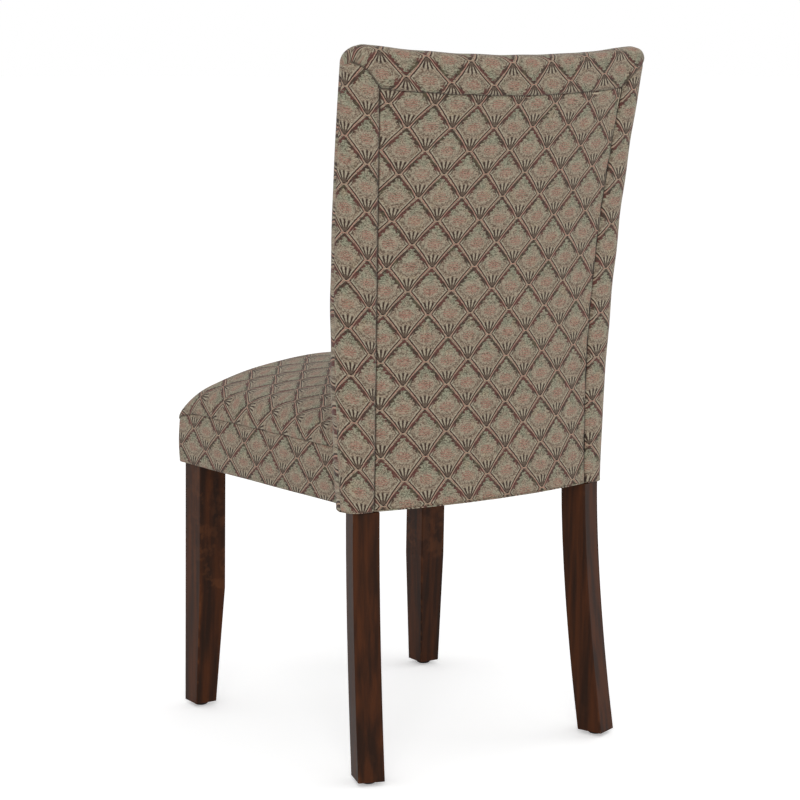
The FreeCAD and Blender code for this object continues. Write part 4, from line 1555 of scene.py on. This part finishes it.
@dataclass
class SeatUnit:
    """The upholstered seat: a top piece over the crown, and an upright band round the sides and front."""

    form: SeatForm = field(default_factory=SeatForm)
    back: BackForm = field(default_factory=BackForm)
    top_columns: int = 120
    top_rows: int = 110
    row_crowding: float = 1.8
    even_rows: float = 0.25
    band_rows: int = 22
    under_rows: int = 8
    under_lip: float = 0.016
    under_radius: float = 0.003
    under_drop: float = 0.35
    crease: float = 0.014
    crease_depth: float = 0.9
    wall_gap: float = 0.0005
    edge_fade: float = 0.02
    unevenness: float = 0.0010
    band_puff: float = 0.0016
    least_step: float = 0.0006
    top_lay: Lay = Lay(
        across_start=-0.00286,
        across_gain=1.1055,
        across_lean=0.1042,
        along_start=0.06244,
        along_gain=1.0439,
        along_lean=-0.2265,
    )
    band_lay: Lay = Lay(
        across_start=0.0089,
        across_gain=1.0804,
        across_lean=0.0603,
        along_start=0.03159,
        along_gain=1.0652,
        along_lean=-0.0259,
    )

    def reaches(self) -> np.ndarray:
        """Distances behind the front, close together on the roll: length (a t + (1 - a) t^n).

        Returns:
            The distances as a column.
        """
        t = np.linspace(0.0, 1.0, self.top_rows + 1)[:, None]
        length = self.form.depth + self.form.front_padding
        return length * (self.even_rows * t + (1.0 - self.even_rows) * t**self.row_crowding)

    def sections(self, reach: np.ndarray) -> tuple[np.ndarray, np.ndarray]:
        """The top piece's sections: a shoulder arc at each side and a crown arc between them.

        Args:
            reach: Each row's distance behind the front.
        Returns:
            The points' x and z.
        """
        form = self.form
        width = form.half_width(reach)
        side, shoulder, crown = form.levels(reach)
        third = self.top_columns // 6

        def place(x: np.ndarray, z: np.ndarray) -> np.ndarray:
            """A point of each row's section."""
            return np.stack(np.broadcast_arrays(x, z), axis=-1)

        bulge = place(
            width - form.shoulder_reach * form.bulge_across, side + (shoulder - side) * form.bulge_up
        )
        inner_x = width - form.shoulder_reach
        shoulder_share = np.linspace(0.0, 1.0, third + 1)[None, :]
        crown_share = np.linspace(0.0, 1.0, self.top_columns - 2 * third + 1)[None, :]
        rise = arc_through(place(width, side), bulge, place(inner_x, shoulder), shoulder_share)
        middle = place(width * 0, crown)
        over = arc_through(place(inner_x, shoulder), middle, place(-inner_x, shoulder), crown_share)
        fall = rise[:, ::-1] * np.array([-1.0, 1.0])
        section = np.concatenate([rise, over[:, 1:-1], fall], axis=1)
        return section[..., 0], section[..., 1]

    def top_patch(self) -> Patch:
        """The top piece, whose rows end at the back's front face.

        There the cloth turns down into the crease, as a quarter circle that is made a little flatter.

        Returns:
            The patch.
        """
        reach = self.reaches()
        x, z = self.sections(reach)
        y = np.repeat(reach - self.form.front_padding - FRONT_TO_ORIGIN, x.shape[1], axis=1)
        wall = self.back.front_at(x, z) + self.wall_gap
        share = (y - y[:1]) / (y[-1:] - y[:1])
        y = y[:1] + share * (wall - y[:1])
        turned = np.clip(self.crease - (wall - y), 0.0, self.crease)
        drop = self.crease - np.sqrt(np.maximum(0.0, self.crease**2 - turned**2))
        points = np.stack([x, y, z - drop * self.crease_depth], axis=-1)
        around = run_length(points, 1)
        middle = around.shape[1] // 2
        u = around[:, middle : middle + 1] - around
        v = run_length(points, 0)[:, middle : middle + 1] + np.zeros_like(u)
        fade = np.minimum(1.0, np.minimum(around, around[:, -1:] - around) / self.edge_fade)
        uneven = ripples(u, v, 3, self.unevenness) * fade
        points = points - grid_normals(points) * uneven[..., None]
        return Patch("seat_top_cloth", points, {"wrap": self.top_lay.coordinates(u, v)})

    def band_edge(self, top: Patch) -> tuple[np.ndarray, np.ndarray, np.ndarray]:
        """The line that the band hangs from: round the top piece's left side, front and right side.

        Args:
            top: The top piece.
        Returns:
            The line's points, the length along it from its middle and its outward directions in plan.
        """
        edge = np.concatenate([top.points[::-1, 0], top.points[0, 1:-1], top.points[:, -1]], axis=0)
        gaps = np.linalg.norm(np.diff(edge[:, :2], axis=0), axis=1)
        edge = edge[np.concatenate([[True], gaps > self.least_step])]
        along = run_length(edge[:, :2], 0)
        tangent = np.gradient(edge[:, :2], axis=0)
        tangent /= np.maximum(np.linalg.norm(tangent, axis=1, keepdims=True), 1e-9)
        outward = np.stack([tangent[:, 1], -tangent[:, 0]], axis=-1)
        middle = np.array([0.0, -0.05])
        facing = np.sum(outward * (edge[:, :2] - middle), axis=1, keepdims=True)
        return edge, along - along[-1] / 2.0, outward * np.sign(facing)

    def band_patch(self, top: Patch) -> Patch:
        """The band: it hangs from the top piece's edge, puffed a little, and turns in under the rails.

        Args:
            top: The top piece.
        Returns:
            The patch.
        """
        edge, along, outward = self.band_edge(top)
        fall = np.linspace(0.0, 1.0, self.band_rows + 1)[:, None]
        z = edge[:, 2] + fall * (self.form.underside - edge[:, 2])
        u = np.repeat(along[None, :], len(fall), axis=0)
        eased = np.sin(np.minimum(1.0, fall * 3) * math.pi / 2)
        swell = self.band_puff * np.sin(fall * math.pi) + ripples(u, z, 11, self.unevenness) * eased
        plan = edge[:, :2] + outward * swell[..., None]

        under = even_shares(self.under_rows)
        inwards = self.under_radius * (1 - np.cos(under * math.pi / 2)) + self.under_lip * under
        drop = self.under_radius * np.sin(np.minimum(1.0, under * 2) * math.pi / 2) * self.under_drop
        plan = np.concatenate([plan, plan[-1] - outward * inwards[..., None]], axis=0)
        z = np.concatenate([z, z[-1] - drop], axis=0)
        points = np.concatenate([plan, z[..., None]], axis=-1)
        v = edge[:, 2] - run_length(points, 0)
        cloth = self.band_lay.coordinates(np.broadcast_to(along, v.shape), v)
        return Patch("seat_band_cloth", points, {"wrap": cloth})

    def build(self, shop: Workshop) -> None:
        """Makes the two cloths, dresses them and puts them on the frame.

        Args:
            shop: The shared effects.
        """
        top = self.top_patch()
        finish = TrellisCover("seat_cloth").material(shop)
        for patch in (top, self.band_patch(top)):
            put_cover(patch, finish, ("seat_cover",))


@dataclass
class PaddingUnit:
    """Foam and wadding: rounded copies of the solids that hold their space."""

    voxel: float = 0.005
    thin_voxel: float = 0.0035
    pressed: float = 0.0042

    def press(self, mesh: bpy.types.Mesh) -> None:
        """Keeps the back's foam a little under its rear cover, where the remesh left it proud.

        Args:
            mesh: The foam's mesh, whose points move forwards.
        """
        form = BackForm()
        places = np.empty(len(mesh.vertices) * 3, np.float32)
        mesh.vertices.foreach_get("co", places)
        x, y, z = places.reshape(-1, 3).T
        reach = form.reference_width() * np.clip(1.0 - np.abs(x) / form.half_width(z), 0.0, 1.0)
        seam = form.reference_width() * (1.0 - form.seam_x(z) / form.half_width(z))
        places.reshape(-1, 3)[:, 1] = np.minimum(y, form.rear(x, reach, seam, z) - self.pressed)
        mesh.vertices.foreach_set("co", places)

    def build(self, shop: Workshop) -> None:
        """Makes each padded piece from its node, softened by a remesh and a smoothing.

        Args:
            shop: The shared effects, with the finishes by their slots.
        """
        for node, slot, voxel, fill in (
            ("back_foam_pad", "foam", self.voxel, 0.9),
            ("seat_foam", "foam", self.voxel, 0.9),
            ("seat_wadding", "wadding", self.thin_voxel, 0.6),
        ):
            source = bpy.data.objects[node]
            rough = bpy.data.objects.new(node + "_soft", source.data.copy())
            bpy.context.scene.collection.objects.link(rough)
            remesh = rough.modifiers.new("soft", "REMESH")
            remesh.mode = "VOXEL"
            remesh.voxel_size = voxel
            calm = rough.modifiers.new("calm", "SMOOTH")
            calm.iterations = 2
            graph = bpy.context.evaluated_depsgraph_get()
            mesh = bpy.data.meshes.new_from_object(rough.evaluated_get(graph), depsgraph=graph)
            rough.modifiers.clear()
            rough.data = mesh
            if node == "back_foam_pad":
                self.press(mesh)
            mesh.polygons.foreach_set("use_smooth", np.ones(len(mesh.polygons), bool))
            mesh.materials.clear()
            mesh.materials.append(shop.kept[slot])
            seat_on_frame(rough, (node,))


@dataclass
class InnerCloths:
    """The dust cloth under the seat and the cloth over the webbing, each stretched."""

    columns: int = 60
    thickness: float = 0.0008
    sag: float = 0.0015
    narrowing: float = SeatForm.narrowing

    def sheet_patch(self, name: str, node: str, sag: float) -> Patch:
        """A cloth over its node's box: it tapers to the rear, and sinks between its edges.

        The sink is sag (1 - s^2)(1 - t^2) over the shares s and t of its half width and half length.

        Args:
            name: The piece's name.
            node: The node that it replaces.
            sag: How far it sinks at its middle.
        Returns:
            The patch.
        """
        low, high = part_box(node)
        even = np.linspace(-1.0, 1.0, self.columns + 1)
        s, t = np.meshgrid(even, even)
        rear = (t + 1.0) / 2.0
        x = s * high.x * (1.0 - self.narrowing * (high.y - low.y) / high.x * rear)
        y = low.y + rear * (high.y - low.y)
        z = high.z - sag * (1 - s**2) * (1 - t**2)
        return Patch(name, np.stack([x, y, z], axis=-1), {"wrap": np.stack([x, y], axis=-1)})

    def build(self, shop: Workshop) -> None:
        """Makes the two cloths and puts them on the frame.

        Args:
            shop: The shared effects, with the finishes by their slots.
        """
        for name, node, slot, sag in (
            ("platform_cloth", "seat_platform_cloth", "platform_cloth", 0.0),
            ("dust_cloth", "dust_cover", "dust_cloth", self.sag),
        ):
            patch = self.sheet_patch(name, node, sag)
            piece = patch.build()
            piece.data.materials.append(shop.kept[slot])
            thicken(piece, self.thickness)
            seat_on_frame(piece, (node,))


@dataclass
class Studio:
    """The floor, the light and the camera."""

    eye: tuple[float, float, float] = (1.8613, 2.5620, 0.9977)
    ahead: tuple[float, float, float] = (-0.5771, -0.8003, -0.1627)
    right: tuple[float, float, float] = (-0.8125, 0.5827, 0.0157)
    above: tuple[float, float, float] = (-0.0822, -0.1412, 0.9866)
    lens: float = 102.26
    sensor: float = 36.0
    shift: tuple[float, float] = (0.0044, -0.0076)
    floor_colour: Colour = (0.93, 0.93, 0.93)
    floor_glow: float = 0.37
    fill: float = 0.72
    key_place: tuple[float, float, float] = (1.9, 2.4, 2.4)
    key_size: float = 1.6
    key_power: float = 26.0
    side_place: tuple[float, float, float] = (-2.6, 0.6, 1.8)
    side_size: float = 1.8
    side_share: float = 0.45

    def build(self) -> None:
        """Makes the studio round the chair."""
        self.add_floor()
        self.add_world()
        self.add_lamp("key", self.key_place, self.key_size, self.key_power)
        self.add_lamp("side", self.side_place, self.side_size, self.key_power * self.side_share)
        self.add_camera()

    def add_floor(self) -> None:
        """A wide floor at the glides' level."""
        reach, roughness, specular = 30.0, 0.9, 0.1
        mesh = bpy.data.meshes.new("floor")
        corners = [(-reach, -reach, 0.0), (reach, -reach, 0.0), (reach, reach, 0.0), (-reach, reach, 0.0)]
        mesh.from_pydata(corners, [], [(0, 1, 2, 3)])
        floor = bpy.data.objects.new("floor", mesh)
        bpy.context.scene.collection.objects.link(floor)
        material = bpy.data.materials.new("floor")
        material.use_nodes = True
        shader = next(node for node in material.node_tree.nodes if node.type == "BSDF_PRINCIPLED")
        shader.inputs["Base Color"].default_value = (*self.floor_colour, 1.0)
        shader.inputs["Roughness"].default_value = roughness
        shader.inputs["Specular IOR Level"].default_value = specular
        rays = material.node_tree.nodes.new("ShaderNodeLightPath")
        seen = Wire(material.node_tree, rays.outputs["Is Camera Ray"])
        glow = seen * self.floor_glow
        shader.inputs["Emission Color"].default_value = (1.0, 1.0, 1.0, 1.0)
        material.node_tree.links.new(glow.output, shader.inputs["Emission Strength"])
        mesh.materials.append(material)

    def add_world(self) -> None:
        """An even grey-white room, which the camera alone sees as plain white."""
        world = bpy.data.worlds.new("studio")
        world.use_nodes = True
        tree = world.node_tree
        background = next(node for node in tree.nodes if node.type == "BACKGROUND")
        background.inputs["Color"].default_value = (1.0, 1.0, 1.0, 1.0)
        rays = tree.nodes.new("ShaderNodeLightPath")
        seen = Wire(tree, rays.outputs["Is Camera Ray"])
        level = seen * (1.0 - self.fill) + self.fill
        tree.links.new(level.output, background.inputs["Strength"])
        bpy.context.scene.world = world

    def add_lamp(self, name: str, place: tuple[float, float, float], size: float, power: float) -> None:
        """A square soft lamp that faces the chair's middle.

        Args:
            name: The lamp's name.
            place: Where it stands.
            size: The length of its sides.
            power: Its power in watts.
        """
        lamp = bpy.data.lights.new(name, "AREA")
        lamp.shape = "SQUARE"
        lamp.size = size
        lamp.energy = power
        holder = bpy.data.objects.new(name, lamp)
        bpy.context.scene.collection.objects.link(holder)
        chair_middle = (0.0, 0.0, 0.5)
        back = np.array(place) - np.array(chair_middle)
        back = back / np.linalg.norm(back)
        side = np.cross((0.0, 0.0, 1.0), back)
        side = side / np.linalg.norm(side)
        top = np.cross(back, side)
        turn = Matrix((side, top, back)).transposed().to_4x4()
        holder.matrix_world = Matrix.Translation(place) @ turn

    def add_camera(self) -> None:
        """The camera at the photograph's viewing angle."""
        camera = bpy.data.cameras.new("camera")
        camera.lens = self.lens
        camera.sensor_width = self.sensor
        camera.shift_x, camera.shift_y = self.shift
        holder = bpy.data.objects.new("camera", camera)
        bpy.context.scene.collection.objects.link(holder)
        back = tuple(-part for part in self.ahead)
        turn = Matrix((self.right, self.above, back)).transposed().to_4x4()
        holder.matrix_world = Matrix.Translation(self.eye) @ turn
        bpy.context.scene.camera = holder


def dress_nodes(shop: Workshop) -> None:
    """Gives every node of the frame its finish, by the material slot that the record names.

    Args:
        shop: The shared effects, with the finishes by their slots.
    """
    for part in frame["record"]["subparts"]:
        node = frame["nodes"][part["node"]]
        finish = shop.kept.get(part["material_slot"])
        node.data.materials.clear()
        node.data.materials.append(finish)


def main() -> None:
    """Builds the chair's looks in order: finishes, back, seat, padding, cloths and studio."""
    logging.basicConfig(level=logging.INFO, format="%(message)s")
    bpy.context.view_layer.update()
    shop = Workshop()
    shop.kept["stained_wood"] = StainedWood().material(shop)
    shop.kept["patterned_cover"] = TrellisCover("patterned_cover", ("UVMap",)).material(shop)
    for finish in PLAIN_FINISHES:
        shop.kept[finish.slot] = finish.material(shop)
    dress_nodes(shop)
    BackUnit().build(shop)
    SeatUnit().build(shop)
    PaddingUnit().build(shop)
    InnerCloths().build(shop)
    Studio().build()
    bpy.context.scene.view_settings.view_transform = "Standard"


if __name__ == "__main__":
    main()
